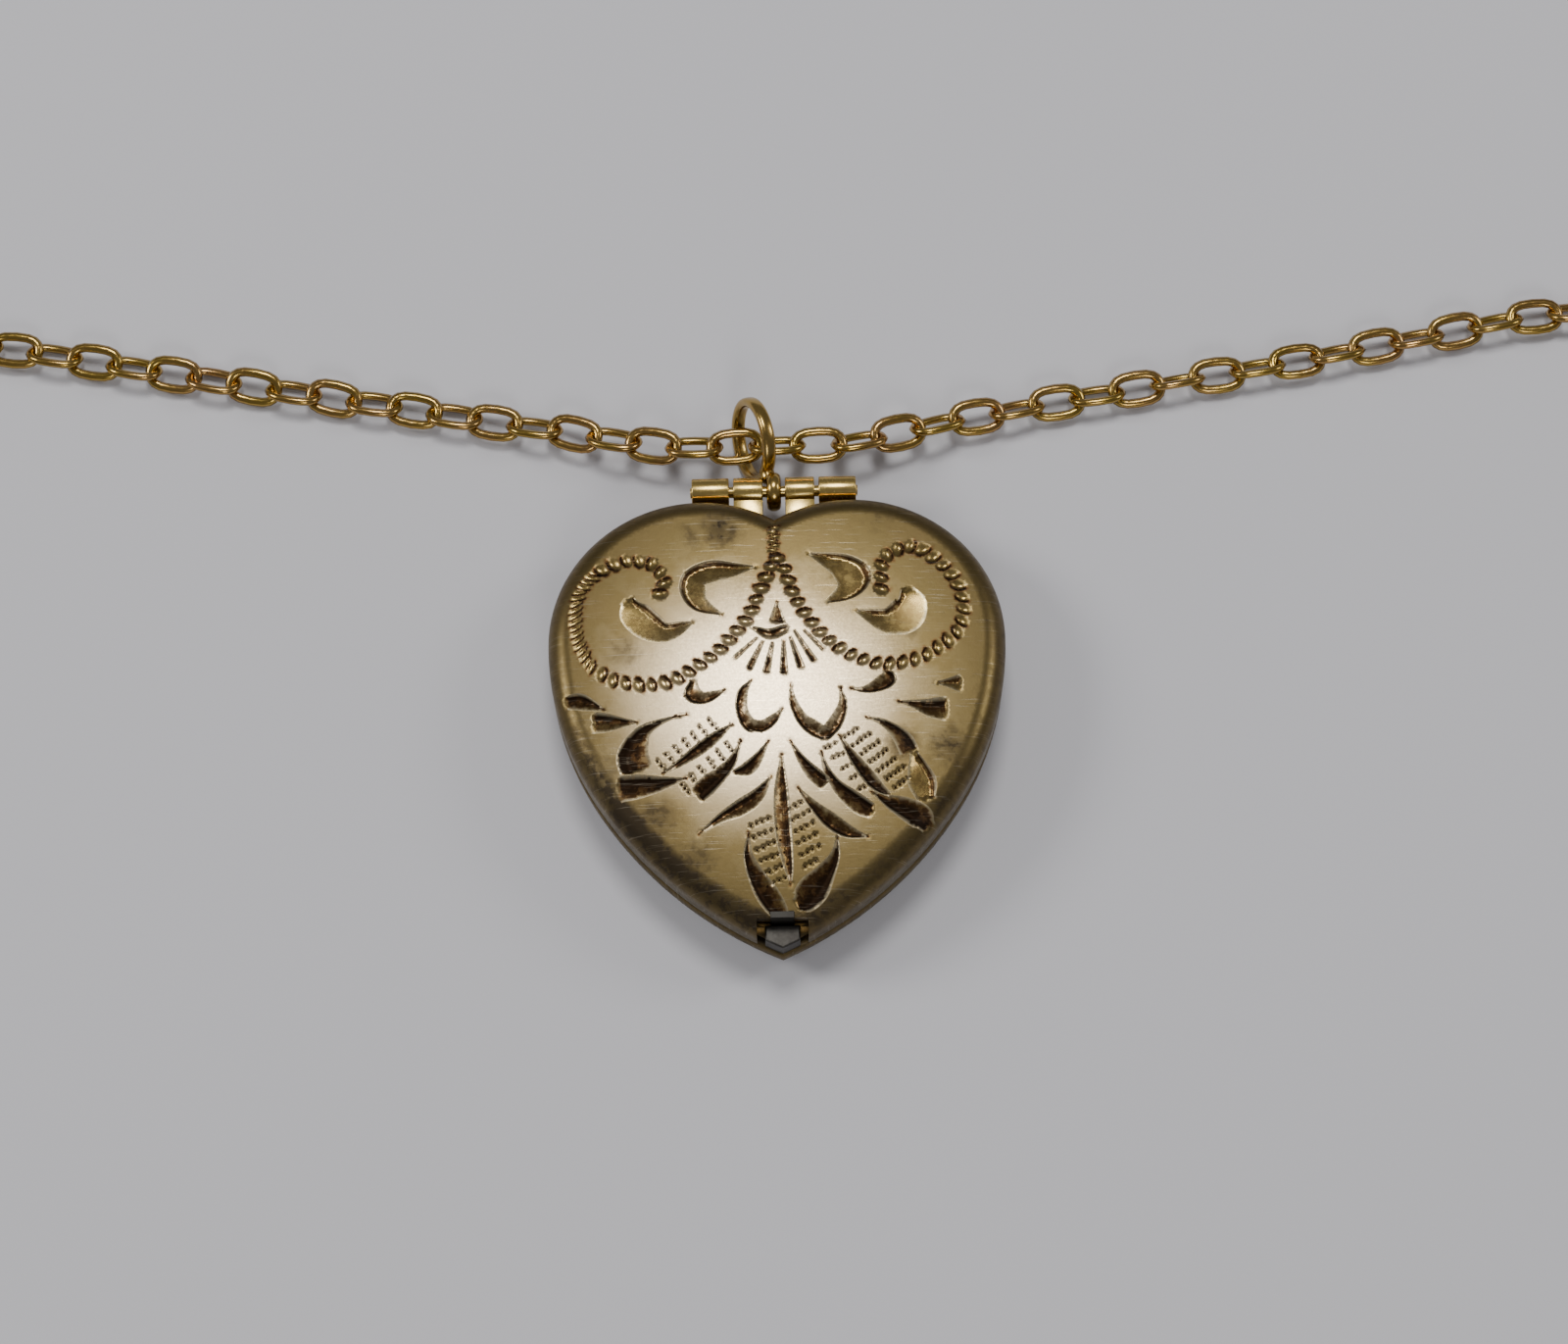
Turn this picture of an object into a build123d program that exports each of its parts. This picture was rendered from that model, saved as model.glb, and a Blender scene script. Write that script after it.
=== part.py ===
"""Heart-shaped locket with a bail, a fine cable chain in two halves and a spring-ring clasp.

Frame, in millimetres: +Z up through the engraved front cover, +Y from the heart's tip towards the
hinge and the bail, +X to the right. The origin is on the flat of the back cover, which the locket
rests on.
"""

from build123d import *
import math
import os

os.makedirs("parts", exist_ok=True)

# ---- Heart outline, shared by the covers and by everything that fits inside them
heart_width = 20.0
lobe_radius = 6.55
lobe_y = 2.1               # the lobes' centres, and the heart's widest point
side_radius = 13.5         # arc from the widest point down the side
side_turn = 33.0           # degrees the side arc turns
flank_radius = 18.0        # arc from there to the tip

# ---- Covers
sheet = 0.35
dome_height = 2.4          # front cover, parting plane to crown
crown_radius = 70.0        # sphere that both faces are pressed to
crown_y = -1.5
roll_radius = 0.9          # rounded shoulder between face and side wall
back_flat_depth = 0.2      # how far the back's crown is pressed flat

# ---- Snap rim, photo frames, windows and photos
rim_thickness = 0.35
rim_depth = 0.8
lip_height = 0.35
snap_clearance = 0.07
frame_seat = 0.10          # flat of each frame, away from the parting plane
frame_sheet = 0.20
frame_width = 1.0
frame_skirt = 0.25
frame_skirt_depth = 0.55
bead_depth = 0.15
window_thickness = 0.12
photo_thickness = 0.13
photo_clearance = 0.05

# ---- Hinge
pin_radius = 0.25
pin_overhang = 0.08
running_clearance = 0.05
knuckle_radius = 0.64
hinge_gap = 0.16           # between the knuckles and the lobes' walls
inner_knuckle = (0.50, 1.80)
outer_knuckle = (2.00, 3.65)
foot_clearance = 0.05
foot_height = 0.60

# ---- Catch at the tip
catch_length = 1.15        # notch, measured back from the tip
notch_half_width = 1.10
tongue_width = 1.50
tongue_height = 0.95
tongue_setback = 0.05
catch_clearance = 0.08
catch_lip_width = 1.0
catch_lip_thickness = 0.25
catch_lip_proud = 0.08

# ---- Bail
eye_radius = 0.87
eye_width = 0.64
eye_corner = 0.16
bail_outer_radius = 1.95
bail_band = 0.60           # along the ring's axis
bail_thickness = 0.42      # across it
bail_corner = 0.168
bail_lean = 18.0           # degrees to the left of the locket's axis
bail_dip = 7.5             # degrees below level
bail_turn = 18.0           # degrees about the bail's own length
collar_radius = 0.38
collar_length = 0.56
collar_corner = 0.076

# ---- Chain
chain_diameter = 1.6
chain_radius = chain_diameter / 2
turn_factor = 0.45         # how much of each run its bends may take
left_route = [             # from the bail out to the left, then level into the coil
    (-2.4, 11.9, 1.65), (-4.9, 11.9, 1.65), (-8.4, 12.9, 1.1), (-12.6, 13.72, 0.04 + chain_radius),
    (-17.4, 14.68, chain_radius), (-22.4, 15.55, chain_radius), (-27.2, 16.45, chain_radius),
    (-32.0, 17.4, chain_radius), (-36.6, 18.3, chain_radius), (-40.0, 18.3, chain_radius),
]
right_route = [
    (0.9, 11.9, 1.65), (3.4, 11.9, 1.65), (6.9, 12.95, 1.15), (11.2, 13.86, 0.05 + chain_radius),
    (16.0, 14.66, chain_radius), (21.0, 15.45, chain_radius), (25.8, 16.28, chain_radius),
    (30.6, 17.15, chain_radius), (35.4, 18.1, chain_radius), (39.6, 18.1, chain_radius),
]
coil_outer_radius = 12.4
coil_inner_radius = 5.2
coil_x = 49.0

# ---- Clasp, inside the left coil, and end ring, inside the right one
clasp_radius = 2.15        # of the tube's centre line
clasp_tube_radius = 0.60
clasp_bore_radius = 0.42
bolt_clearance = 0.04
clasp_gap = (-25, 25)      # degrees round the clasp
bolt_arc = (-35, 100)
slot_arc = (64, 146)
knob_angle = 75
knob_radius = 0.20
knob_length = 0.45
spring_arc = (164, 306)
spring_bore_radius = 0.22
bore_end = 308
bolt_seat = 320
tab_radius = 0.62
tab_hole_radius = 0.34
tab_thickness = 0.40
tab_overlap = 0.15
jump_ring_radius = 1.0
jump_wire_radius = 0.18
jump_ring_lift = 0.02      # off the table
end_ring_radius = 1.75
end_ring_wire = 0.30

# ---- Worked out from the values above
parting_height = dome_height - back_flat_depth
lobe_x = heart_width / 2 - lobe_radius
side_x = heart_width / 2 - side_radius
flank_x = side_x + (side_radius - flank_radius) * math.cos(math.radians(side_turn))
flank_y = lobe_y - (side_radius - flank_radius) * math.sin(math.radians(side_turn))
tip_y = flank_y - math.sqrt(flank_radius ** 2 - flank_x ** 2)
hinge_y = lobe_y + lobe_radius + hinge_gap + knuckle_radius
rim_inset = sheet + rim_thickness
parting_plane = Plane.XY.offset(parting_height)
pin_axis = Axis((0, hinge_y, parting_height), (1, 0, 0))
notch_y = tip_y + catch_length


def heart(inset, height):
    """Heart-shaped face at a height, its outline drawn in by a distance all round."""
    lobe = lobe_radius - inset
    flank = flank_radius - inset
    cleft_angle = math.degrees(math.acos(-lobe_x / lobe))
    tip_angle = math.degrees(math.acos(-flank_x / flank))
    with BuildSketch(Plane.XY.offset(height)) as face:
        with BuildLine():
            CenterArc((lobe_x, lobe_y), lobe, 0, cleft_angle)
            CenterArc((side_x, lobe_y), side_radius - inset, 0, -side_turn)
            CenterArc((flank_x, flank_y), flank, -side_turn, side_turn - tip_angle)
            mirror(about=Plane.YZ)
        make_face()
    return face.sketch


def dome(inset, flat_height):
    """Pressed heart above the parting plane, drawn in by a distance and cut flat at a height."""
    with BuildPart() as solid:
        extrude(heart(inset, parting_height), amount=flat_height)
        with Locations((0, crown_y, parting_height + dome_height - crown_radius)):
            Sphere(crown_radius - inset, rotation=(90, 0, 0), mode=Mode.INTERSECT)
        crown = solid.faces().filter_by(GeomType.SPHERE)[0]
        fillet(crown.outer_wire().edges(), roll_radius - inset)
    return solid.part


def band(outer_inset, inner_inset, low, high):
    """Heart-shaped band between two insets and two heights."""
    with BuildPart() as solid:
        extrude(heart(outer_inset, low), amount=high - low)
        extrude(heart(inner_inset, low), amount=high - low, mode=Mode.SUBTRACT)
    return solid.part


def finish(part, name):
    """Label a piece and write its file."""
    part.label = name
    export_step(part, "parts/" + name + ".step")


full_height = 2 * dome_height
front_shell = dome(0, full_height)
front_cavity = dome(sheet, full_height)
back_shell = mirror(dome(0, parting_height), about=parting_plane)
back_cavity = mirror(dome(sheet, parting_height - sheet), about=parting_plane)

# ---- Back half: cover, snap rim, knuckles, pin and catch tongue
with BuildPart() as back_cover:
    add(back_shell)
    add(back_cavity, mode=Mode.SUBTRACT)
finish(back_cover.part, "back_cover")

with BuildPart() as back_rim:
    add(band(sheet, rim_inset, parting_height - rim_depth, parting_height))
    add(back_cavity, mode=Mode.INTERSECT)
    add(band(sheet + snap_clearance, rim_inset, parting_height, parting_height + lip_height))
    with Locations((0, tip_y, parting_height)):
        Box(
            2 * notch_half_width, 2 * catch_length, 2 * lip_height,
            align=(Align.CENTER, Align.CENTER, Align.MIN), mode=Mode.SUBTRACT,
        )
finish(back_rim.part, "back_rim")


def knuckle_pair(span, foot_low, bore_radius):
    """Barrels on both sides of the middle, each with a foot that meets the heart's wall."""
    start, end = span
    with BuildPart() as pair:
        with BuildSketch(Plane.YZ.offset(start)):
            with Locations((hinge_y, parting_height)):
                Circle(knuckle_radius)
            with Locations((hinge_y, foot_low)):
                Rectangle(hinge_y - lobe_y, foot_height, align=(Align.MAX, Align.MIN))
        extrude(amount=end - start)
        extrude(heart(0, foot_low - foot_height), amount=3 * foot_height, mode=Mode.SUBTRACT)
        with BuildSketch(Plane.YZ.offset(start)):
            with Locations((hinge_y, parting_height)):
                Circle(bore_radius)
        extrude(amount=end - start, mode=Mode.SUBTRACT)
        mirror(about=Plane.YZ)
    return pair.part


with BuildPart() as back_knuckles:
    add(knuckle_pair(outer_knuckle, parting_height - foot_clearance - foot_height, pin_radius))
finish(back_knuckles.part, "back_knuckles")

with BuildPart() as hinge_pin:
    with BuildSketch(Plane.YZ.offset(-outer_knuckle[1] - pin_overhang)):
        with Locations((hinge_y, parting_height)):
            Circle(pin_radius)
    extrude(amount=2 * (outer_knuckle[1] + pin_overhang))
    chamfer(hinge_pin.edges().filter_by(GeomType.CIRCLE), pin_overhang / 2)
finish(hinge_pin.part, "hinge_pin")

with BuildPart() as catch_tongue:
    extrude(heart(tongue_setback, parting_height), amount=tongue_height)
    with Locations((0, notch_y - catch_clearance, parting_height)):
        Box(
            tongue_width, 2 * catch_length, tongue_height,
            align=(Align.CENTER, Align.MAX, Align.MIN), mode=Mode.INTERSECT,
        )
    tongue_top = catch_tongue.faces().sort_by(Axis.Z)[-1]
    fillet(tongue_top.edges(), catch_clearance)
finish(catch_tongue.part, "catch_tongue")

# ---- Front half: cover with its catch notch, knuckles and catch lip
with BuildPart() as front_cover:
    add(front_shell)
    add(front_cavity, mode=Mode.SUBTRACT)
    with Locations((0, notch_y, parting_height)):
        Box(
            2 * notch_half_width, 2 * catch_length, full_height,
            align=(Align.CENTER, Align.MAX, Align.MIN), mode=Mode.SUBTRACT,
        )
        Box(
            catch_lip_width, catch_lip_thickness, full_height,
            align=(Align.CENTER, Align.MIN, Align.MIN), mode=Mode.SUBTRACT,
        )
finish(front_cover.part, "front_cover")

with BuildPart() as catch_lip:
    with BuildSketch(parting_plane.offset(lip_height + catch_clearance)):
        with Locations((0, notch_y)):
            Rectangle(catch_lip_width, catch_lip_thickness, align=(Align.CENTER, Align.MIN))
    extrude(amount=full_height)
    add(Pos(0, 0, catch_lip_proud) * front_shell, mode=Mode.INTERSECT)
finish(catch_lip.part, "catch_lip")

with BuildPart() as front_knuckles:
    add(knuckle_pair(inner_knuckle, parting_height + foot_clearance, pin_radius + running_clearance))
finish(front_knuckles.part, "front_knuckles")


# ---- Photo frames, windows and photos: one set in each half, the back's set mirrored
def frame_ring(outer_inset):
    """Flat ring with a turned skirt, above the parting plane."""
    base = parting_height + frame_seat
    with BuildPart() as ring:
        add(band(outer_inset, outer_inset + frame_width, base, base + frame_sheet))
        add(band(outer_inset, outer_inset + frame_skirt, base, base + frame_skirt_depth))
    return ring.part


def inlay(frame_inset, depth, thickness):
    """Heart-shaped leaf that lies on the frame's flat, inside its skirt."""
    with BuildPart() as leaf:
        low = parting_height + frame_seat + frame_sheet + depth
        extrude(heart(frame_inset + frame_skirt + photo_clearance, low), amount=thickness)
    return leaf.part


front_frame_inset = rim_inset + photo_clearance
with BuildPart() as catch_room:
    with Locations((0, notch_y + catch_lip_thickness + catch_clearance, parting_height)):
        Box(
            2 * notch_half_width, 2 * catch_length, dome_height,
            align=(Align.CENTER, Align.MAX, Align.MIN),
        )

bead_low = parting_height + frame_seat + frame_skirt_depth - bead_depth
with BuildPart() as front_photo_frame:
    add(frame_ring(front_frame_inset))
    add(band(sheet, front_frame_inset + frame_skirt, bead_low, bead_low + bead_depth))
    add(front_cavity, mode=Mode.INTERSECT)
    add(catch_room.part, mode=Mode.SUBTRACT)
finish(front_photo_frame.part, "front_photo_frame")

with BuildPart() as front_window:
    add(inlay(front_frame_inset, 0, window_thickness))
    add(catch_room.part, mode=Mode.SUBTRACT)
finish(front_window.part, "front_window")

with BuildPart() as front_photo:
    add(inlay(front_frame_inset, window_thickness, photo_thickness))
    add(catch_room.part, mode=Mode.SUBTRACT)
finish(front_photo.part, "front_photo")

with BuildPart() as back_photo_frame:
    mirror(frame_ring(rim_inset), about=parting_plane)
finish(back_photo_frame.part, "back_photo_frame")

with BuildPart() as back_window:
    mirror(inlay(rim_inset, 0, window_thickness), about=parting_plane)
finish(back_window.part, "back_window")

with BuildPart() as back_photo:
    mirror(inlay(rim_inset, window_thickness, photo_thickness), about=parting_plane)
finish(back_photo.part, "back_photo")

# ---- Bail: an eye on the pin, the large ring and the collar that joins them
bail_direction = Vector(0, 1, 0).rotate(Axis.X, -bail_dip).rotate(Axis.Z, bail_lean)
level_normal = Vector(1, 0, 0).rotate(Axis.Z, bail_lean)
bail_normal = level_normal.rotate(Axis((0, 0, 0), bail_direction), bail_turn)
pin_centre = Vector(0, hinge_y, parting_height)
ring_centre = pin_centre + bail_direction * (eye_radius + bail_outer_radius)
ring_section_plane = Plane(
    origin=ring_centre, x_dir=bail_direction, z_dir=bail_direction.cross(bail_normal)
)

with BuildPart() as bail_ring:
    with BuildSketch(ring_section_plane):
        with Locations((bail_outer_radius - bail_thickness / 2, 0)):
            RectangleRounded(bail_thickness, bail_band, bail_corner)
    revolve(axis=Axis(ring_centre, bail_normal))
finish(bail_ring.part, "bail_ring")

with BuildPart() as bail_eye:
    with BuildSketch(Plane.YZ.offset(-eye_width / 2)):
        with Locations((hinge_y, parting_height)):
            Circle(eye_radius)
            Circle(pin_radius + running_clearance, mode=Mode.SUBTRACT)
    extrude(amount=eye_width)
    fillet(bail_eye.edges().filter_by(GeomType.CIRCLE).sort_by(SortBy.RADIUS)[-2:], eye_corner)
    add(bail_ring.part, mode=Mode.SUBTRACT)
finish(bail_eye.part, "bail_eye")

collar_start = pin_centre + bail_direction * (eye_radius - collar_length / 2)
with BuildPart() as bail_collar:
    with BuildSketch(Plane(origin=collar_start, z_dir=bail_direction)):
        Circle(collar_radius)
    extrude(amount=collar_length)
    fillet(bail_collar.edges().filter_by(GeomType.CIRCLE), collar_corner)
    add(bail_eye.part, mode=Mode.SUBTRACT)
    add(bail_ring.part, mode=Mode.SUBTRACT)
    with BuildSketch(Plane.YZ.offset(-eye_width)):
        with Locations((hinge_y, parting_height)):
            Circle(eye_radius - eye_corner)
    extrude(amount=2 * eye_width, mode=Mode.SUBTRACT)
finish(bail_collar.part, "bail_collar")

# ---- Chain: a straight stretch in the bail, and one tube and one coil for each half
with BuildPart() as chain_centre:
    centre_start, centre_y, centre_height = left_route[0]
    with BuildSketch(Plane.YZ.offset(centre_start)):
        with Locations((centre_y, centre_height)):
            Circle(chain_radius)
    extrude(amount=right_route[0][0] - centre_start)
finish(chain_centre.part, "chain_centre")


def bend_radii(route):
    """Arc radius at each inner point: as large as the shorter run beside it allows."""
    points = [Vector(*point) for point in route]
    radii = []
    for before, corner, after in zip(points, points[1:], points[2:]):
        run_in = corner - before
        run_out = after - corner
        half_turn = math.radians(run_in.get_angle(run_out)) / 2
        radii.append(turn_factor * min(run_in.length, run_out.length) / math.tan(half_turn))
    return radii


def chain_tube(route):
    """Round tube along straight runs joined by tangent arcs."""
    radii = bend_radii(route)
    with BuildPart() as tube:
        with BuildLine() as path:
            FilletPolyline(*route, radius=radii)
        with BuildSketch(Plane(origin=route[0], z_dir=path.wires()[0] % 0)):
            Circle(chain_radius)
        sweep()
    section_volume = math.pi * chain_radius ** 2 * path.wires()[0].length
    print("radii", [round(radius, 1) for radius in radii])
    print("volume over section times length", tube.part.volume / section_volume)
    return tube.part


with BuildPart() as chain_left:
    add(chain_tube(left_route))
finish(chain_left.part, "chain_left")

with BuildPart() as chain_right:
    add(chain_tube(right_route))
finish(chain_right.part, "chain_right")


def chain_coil(route, centre_x):
    """Outer shape of the wound chain, with the lead-in that meets the tube's end."""
    end_x, end_y, _ = route[-1]
    centre_y = end_y - coil_outer_radius + chain_radius
    with BuildPart() as coil:
        with BuildSketch():
            with Locations((centre_x, centre_y)):
                Circle(coil_outer_radius)
                Circle(coil_inner_radius, mode=Mode.SUBTRACT)
            with Locations(((centre_x + end_x) / 2, end_y)):
                Rectangle(abs(centre_x - end_x), chain_diameter)
        extrude(amount=chain_diameter)
    return coil.part


with BuildPart() as chain_left_coil:
    add(chain_coil(left_route, -coil_x))
finish(chain_left_coil.part, "chain_left_coil")

with BuildPart() as chain_right_coil:
    add(chain_coil(right_route, coil_x))
finish(chain_right_coil.part, "chain_right_coil")

# ---- Spring-ring clasp in the left coil
left_coil_y = left_route[-1][1] - coil_outer_radius + chain_radius
tab_reach = clasp_radius + clasp_tube_radius + tab_radius - tab_overlap
clasp_x = -coil_x - coil_inner_radius + 2 * jump_ring_radius + tab_reach
clasp_axis = Axis((clasp_x, left_coil_y, 0), (0, 0, 1))


def clasp_plane(degrees):
    """Upright plane through the clasp's axis, its x pointing out at an angle round the clasp."""
    angle = math.radians(degrees)
    return Plane(
        origin=(clasp_x, left_coil_y, clasp_tube_radius),
        x_dir=(math.cos(angle), math.sin(angle), 0),
        z_dir=(math.sin(angle), -math.cos(angle), 0),
    )


def clasp_turn(arc, outer, inner=0.0):
    """Round bar or tube bent round the clasp's axis between two angles."""
    with BuildPart() as bar:
        with BuildSketch(clasp_plane(arc[0])):
            with Locations((clasp_radius, 0)):
                Circle(outer)
                if inner:
                    Circle(inner, mode=Mode.SUBTRACT)
        revolve(axis=clasp_axis, revolution_arc=arc[1] - arc[0])
    return bar.part


clasp_body_arc = (clasp_gap[1], clasp_gap[0] + 360)
with BuildPart() as clasp_body:
    add(clasp_turn(clasp_body_arc, clasp_tube_radius))
    with BuildSketch(Plane.XY.offset(clasp_tube_radius - tab_thickness / 2)):
        with Locations((clasp_x - tab_reach, left_coil_y)):
            Circle(tab_radius)
    extrude(amount=tab_thickness)
    add(clasp_turn((clasp_gap[1], bore_end), clasp_bore_radius), mode=Mode.SUBTRACT)
    add(clasp_turn((bolt_seat, clasp_gap[0] + 360), clasp_bore_radius), mode=Mode.SUBTRACT)
    with BuildSketch():
        with Locations((clasp_x - tab_reach, left_coil_y)):
            Circle(tab_hole_radius)
    extrude(amount=2 * clasp_tube_radius, mode=Mode.SUBTRACT)
    with BuildSketch(clasp_plane(slot_arc[0])):
        with Locations((clasp_radius, 0)):
            Rectangle(
                2 * clasp_tube_radius, 2 * (knob_radius + bolt_clearance), align=(Align.MIN, Align.CENTER)
            )
    revolve(axis=clasp_axis, revolution_arc=slot_arc[1] - slot_arc[0], mode=Mode.SUBTRACT)
finish(clasp_body.part, "clasp_body")

with BuildPart() as clasp_bolt:
    add(clasp_turn(bolt_arc, clasp_bore_radius - bolt_clearance))
finish(clasp_bolt.part, "clasp_bolt")

with BuildPart() as clasp_knob:
    knob_direction = Vector(math.cos(math.radians(knob_angle)), math.sin(math.radians(knob_angle)), 0)
    knob_root = Vector(clasp_x, left_coil_y, clasp_tube_radius) + knob_direction * clasp_radius
    with BuildSketch(Plane(origin=knob_root, z_dir=knob_direction)):
        Circle(knob_radius)
    extrude(amount=clasp_tube_radius + knob_length)
    add(clasp_bolt.part, mode=Mode.SUBTRACT)
finish(clasp_knob.part, "clasp_knob")

with BuildPart() as clasp_spring:
    add(clasp_turn(spring_arc, clasp_bore_radius - bolt_clearance, spring_bore_radius))
finish(clasp_spring.part, "clasp_spring")

# ---- Rings at the chain's two ends
with BuildPart() as end_ring:
    right_coil_y = right_route[-1][1] - coil_outer_radius + chain_radius
    end_ring_x = coil_x - coil_inner_radius + end_ring_radius + 2 * end_ring_wire
    ring_section = Plane(origin=(end_ring_x, right_coil_y, end_ring_wire), x_dir=(1, 0, 0), z_dir=(0, -1, 0))
    with BuildSketch(ring_section):
        with Locations((end_ring_radius, 0)):
            Circle(end_ring_wire)
    revolve(axis=Axis((end_ring_x, right_coil_y, 0), (0, 0, 1)))
finish(end_ring.part, "end_ring")

with BuildPart() as clasp_ring:
    jump_x = clasp_x - tab_reach - jump_ring_radius + jump_wire_radius
    jump_height = jump_ring_radius + jump_ring_lift
    with BuildSketch(Plane(origin=(jump_x, left_coil_y, jump_height), z_dir=(0, 0, 1))):
        with Locations((jump_ring_radius - jump_wire_radius, 0)):
            Circle(jump_wire_radius)
    revolve(axis=Axis((jump_x, left_coil_y, jump_height), (0, 1, 0)))
finish(clasp_ring.part, "clasp_ring")
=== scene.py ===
"""Heart-shaped locket on a fine cable chain: the visible model, its finishes and a studio.

Sizes are written in millimetres and turned into metres where each mesh is made.
"""

import bpy
import bmesh
import math
import numpy as np
from mathutils import Matrix, Vector
from mathutils.geometry import delaunay_2d_cdt


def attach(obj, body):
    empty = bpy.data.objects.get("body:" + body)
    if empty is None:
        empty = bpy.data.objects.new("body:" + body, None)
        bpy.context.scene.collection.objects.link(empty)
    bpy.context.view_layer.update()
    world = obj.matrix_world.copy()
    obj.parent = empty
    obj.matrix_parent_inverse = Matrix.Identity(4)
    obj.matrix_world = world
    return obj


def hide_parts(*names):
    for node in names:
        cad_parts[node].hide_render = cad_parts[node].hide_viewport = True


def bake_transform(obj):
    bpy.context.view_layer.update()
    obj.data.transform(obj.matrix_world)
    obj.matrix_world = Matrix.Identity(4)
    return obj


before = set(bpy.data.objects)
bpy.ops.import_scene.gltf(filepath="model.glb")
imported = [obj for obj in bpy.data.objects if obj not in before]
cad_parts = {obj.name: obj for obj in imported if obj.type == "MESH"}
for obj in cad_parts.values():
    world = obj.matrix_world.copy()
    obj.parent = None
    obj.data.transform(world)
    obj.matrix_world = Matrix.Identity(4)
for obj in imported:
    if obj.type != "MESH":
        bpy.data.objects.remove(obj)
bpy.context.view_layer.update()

MM = 0.001

# ---- Heart outline and covers, as in the solid model
LOBE_RADIUS, LOBE_X, LOBE_Y = 6.55, 3.45, 2.1
SIDE_RADIUS, SIDE_X, SIDE_TURN = 13.5, -3.5, math.radians(33)
FLANK_RADIUS = 18.0
FLANK_X = SIDE_X + (SIDE_RADIUS - FLANK_RADIUS) * math.cos(SIDE_TURN)
FLANK_Y = LOBE_Y - (SIDE_RADIUS - FLANK_RADIUS) * math.sin(SIDE_TURN)
TIP_Y = FLANK_Y - math.sqrt(FLANK_RADIUS**2 - FLANK_X**2)
PARTING = 2.2
DOME = 2.4
CROWN_RADIUS = 70.0
CROWN_Y = -1.5
ROLL = 0.9
SHEET = 0.35
HINGE_Y = 9.45
PIN_RADIUS = 0.25
KNUCKLE_RADIUS = 0.64
NOTCH_Y = TIP_Y + 1.15
NOTCH_HALF_WIDTH = 1.10

# ---- Chain
LINK_LENGTH = 2.61
LINK_WIDTH = 1.65
LINK_WIRE = 0.37
LINK_PITCH = 1.86
CHAIN_HALF = 228.5
CHAIN_MIDDLE = (-0.75, 11.9, 1.65)
LEFT_ROUTE = [
    (-2.4, 11.9, 1.65), (-4.9, 11.9, 1.6), (-8.4, 12.9, 1.0), (-12.6, 13.72, 0.66),
    (-17.4, 14.68, 0.62),
    (-22.4, 15.55, 0.62), (-27.2, 16.45, 0.62), (-32.0, 17.4, 0.62), (-36.6, 18.22, 0.62),
    (-40.0, 18.22, 0.62),
]
RIGHT_ROUTE = [
    (0.9, 11.9, 1.65), (3.4, 11.9, 1.6), (6.9, 12.95, 1.05), (11.2, 13.86, 0.7), (16.0, 14.66, 0.64),
    (21.0, 15.45, 0.64), (25.8, 16.28, 0.64), (30.6, 17.15, 0.64), (35.4, 18.1, 0.64),
    (39.6, 18.1, 0.64),
]
COIL_X = 49.0
COIL_START = 11.6
COIL_PITCH = 1.72
COIL_TURNS = 3.3
COIL_POINTS = 26
COIL_HEIGHT = 0.62
PATH_SPACING = 0.7         # between the points that the cord's path is given by
HEADING_REACH = 0.4        # how far each way a link looks for its direction
LAST_GAP = 0.4
LINK_FLOOR = 0.03          # lowest point of a link
LINK_ROLL_SPREAD = 5       # degrees
LINK_YAW_SPREAD = 3.0      # degrees

noise = np.random.default_rng(11)


# ---- Camera
CAMERA_ABOVE = math.radians(70.4)
CAMERA_ROLL = math.radians(-1.2)
CAMERA_TARGET = (0.286, 0.92, 2.2)
CAMERA_DISTANCE = 0.170    # metres
LENS = 89.06
SENSOR = 36.0


def set_camera():
    """Camera above the locket and a little towards the tip, rolled slightly."""
    target = Vector(CAMERA_TARGET) * MM
    back = Vector((0, -math.cos(CAMERA_ABOVE), math.sin(CAMERA_ABOVE)))
    level = Vector((1, 0, 0))
    upright = back.cross(level)
    right = level * math.cos(CAMERA_ROLL) + upright * math.sin(CAMERA_ROLL)
    up = upright * math.cos(CAMERA_ROLL) - level * math.sin(CAMERA_ROLL)
    data = bpy.data.cameras.new("camera")
    camera = bpy.data.objects.new("camera", data)
    bpy.context.scene.collection.objects.link(camera)
    bpy.context.scene.camera = camera
    data.sensor_width = SENSOR
    data.lens = LENS
    data.clip_start = 0.005
    data.clip_end = 5.0
    turn = Matrix((right, up, back)).transposed().to_4x4()
    camera.matrix_world = Matrix.Translation(target + back * CAMERA_DISTANCE) @ turn


set_camera()


# ---- Small helpers
def new_object(name, points, faces, smooth=True):
    """Mesh object from points in millimetres."""
    data = bpy.data.meshes.new(name)
    data.from_pydata([tuple(c * MM for c in p) for p in points], [], [tuple(f) for f in faces])
    data.update()
    obj = bpy.data.objects.new(name, data)
    bpy.context.scene.collection.objects.link(obj)
    if smooth:
        data.shade_smooth()
    return obj


def outward(obj):
    """Faces turned to point outwards."""
    mesh = bmesh.new()
    mesh.from_mesh(obj.data)
    bmesh.ops.recalc_face_normals(mesh, faces=mesh.faces)
    mesh.to_mesh(obj.data)
    mesh.free()


def apply_modifier(obj, kind, **settings):
    """Add a modifier and apply it."""
    modifier = obj.modifiers.new(kind.lower(), kind)
    for key, value in settings.items():
        setattr(modifier, key, value)
    bpy.ops.object.select_all(action="DESELECT")
    bpy.context.view_layer.objects.active = obj
    obj.select_set(True)
    bpy.ops.object.modifier_apply(modifier=modifier.name)


def settle(obj):
    """Move a piece's place, turn and size into its mesh."""
    bpy.context.view_layer.update()
    obj.data.transform(obj.matrix_world)
    obj.matrix_world = Matrix.Identity(4)


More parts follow.
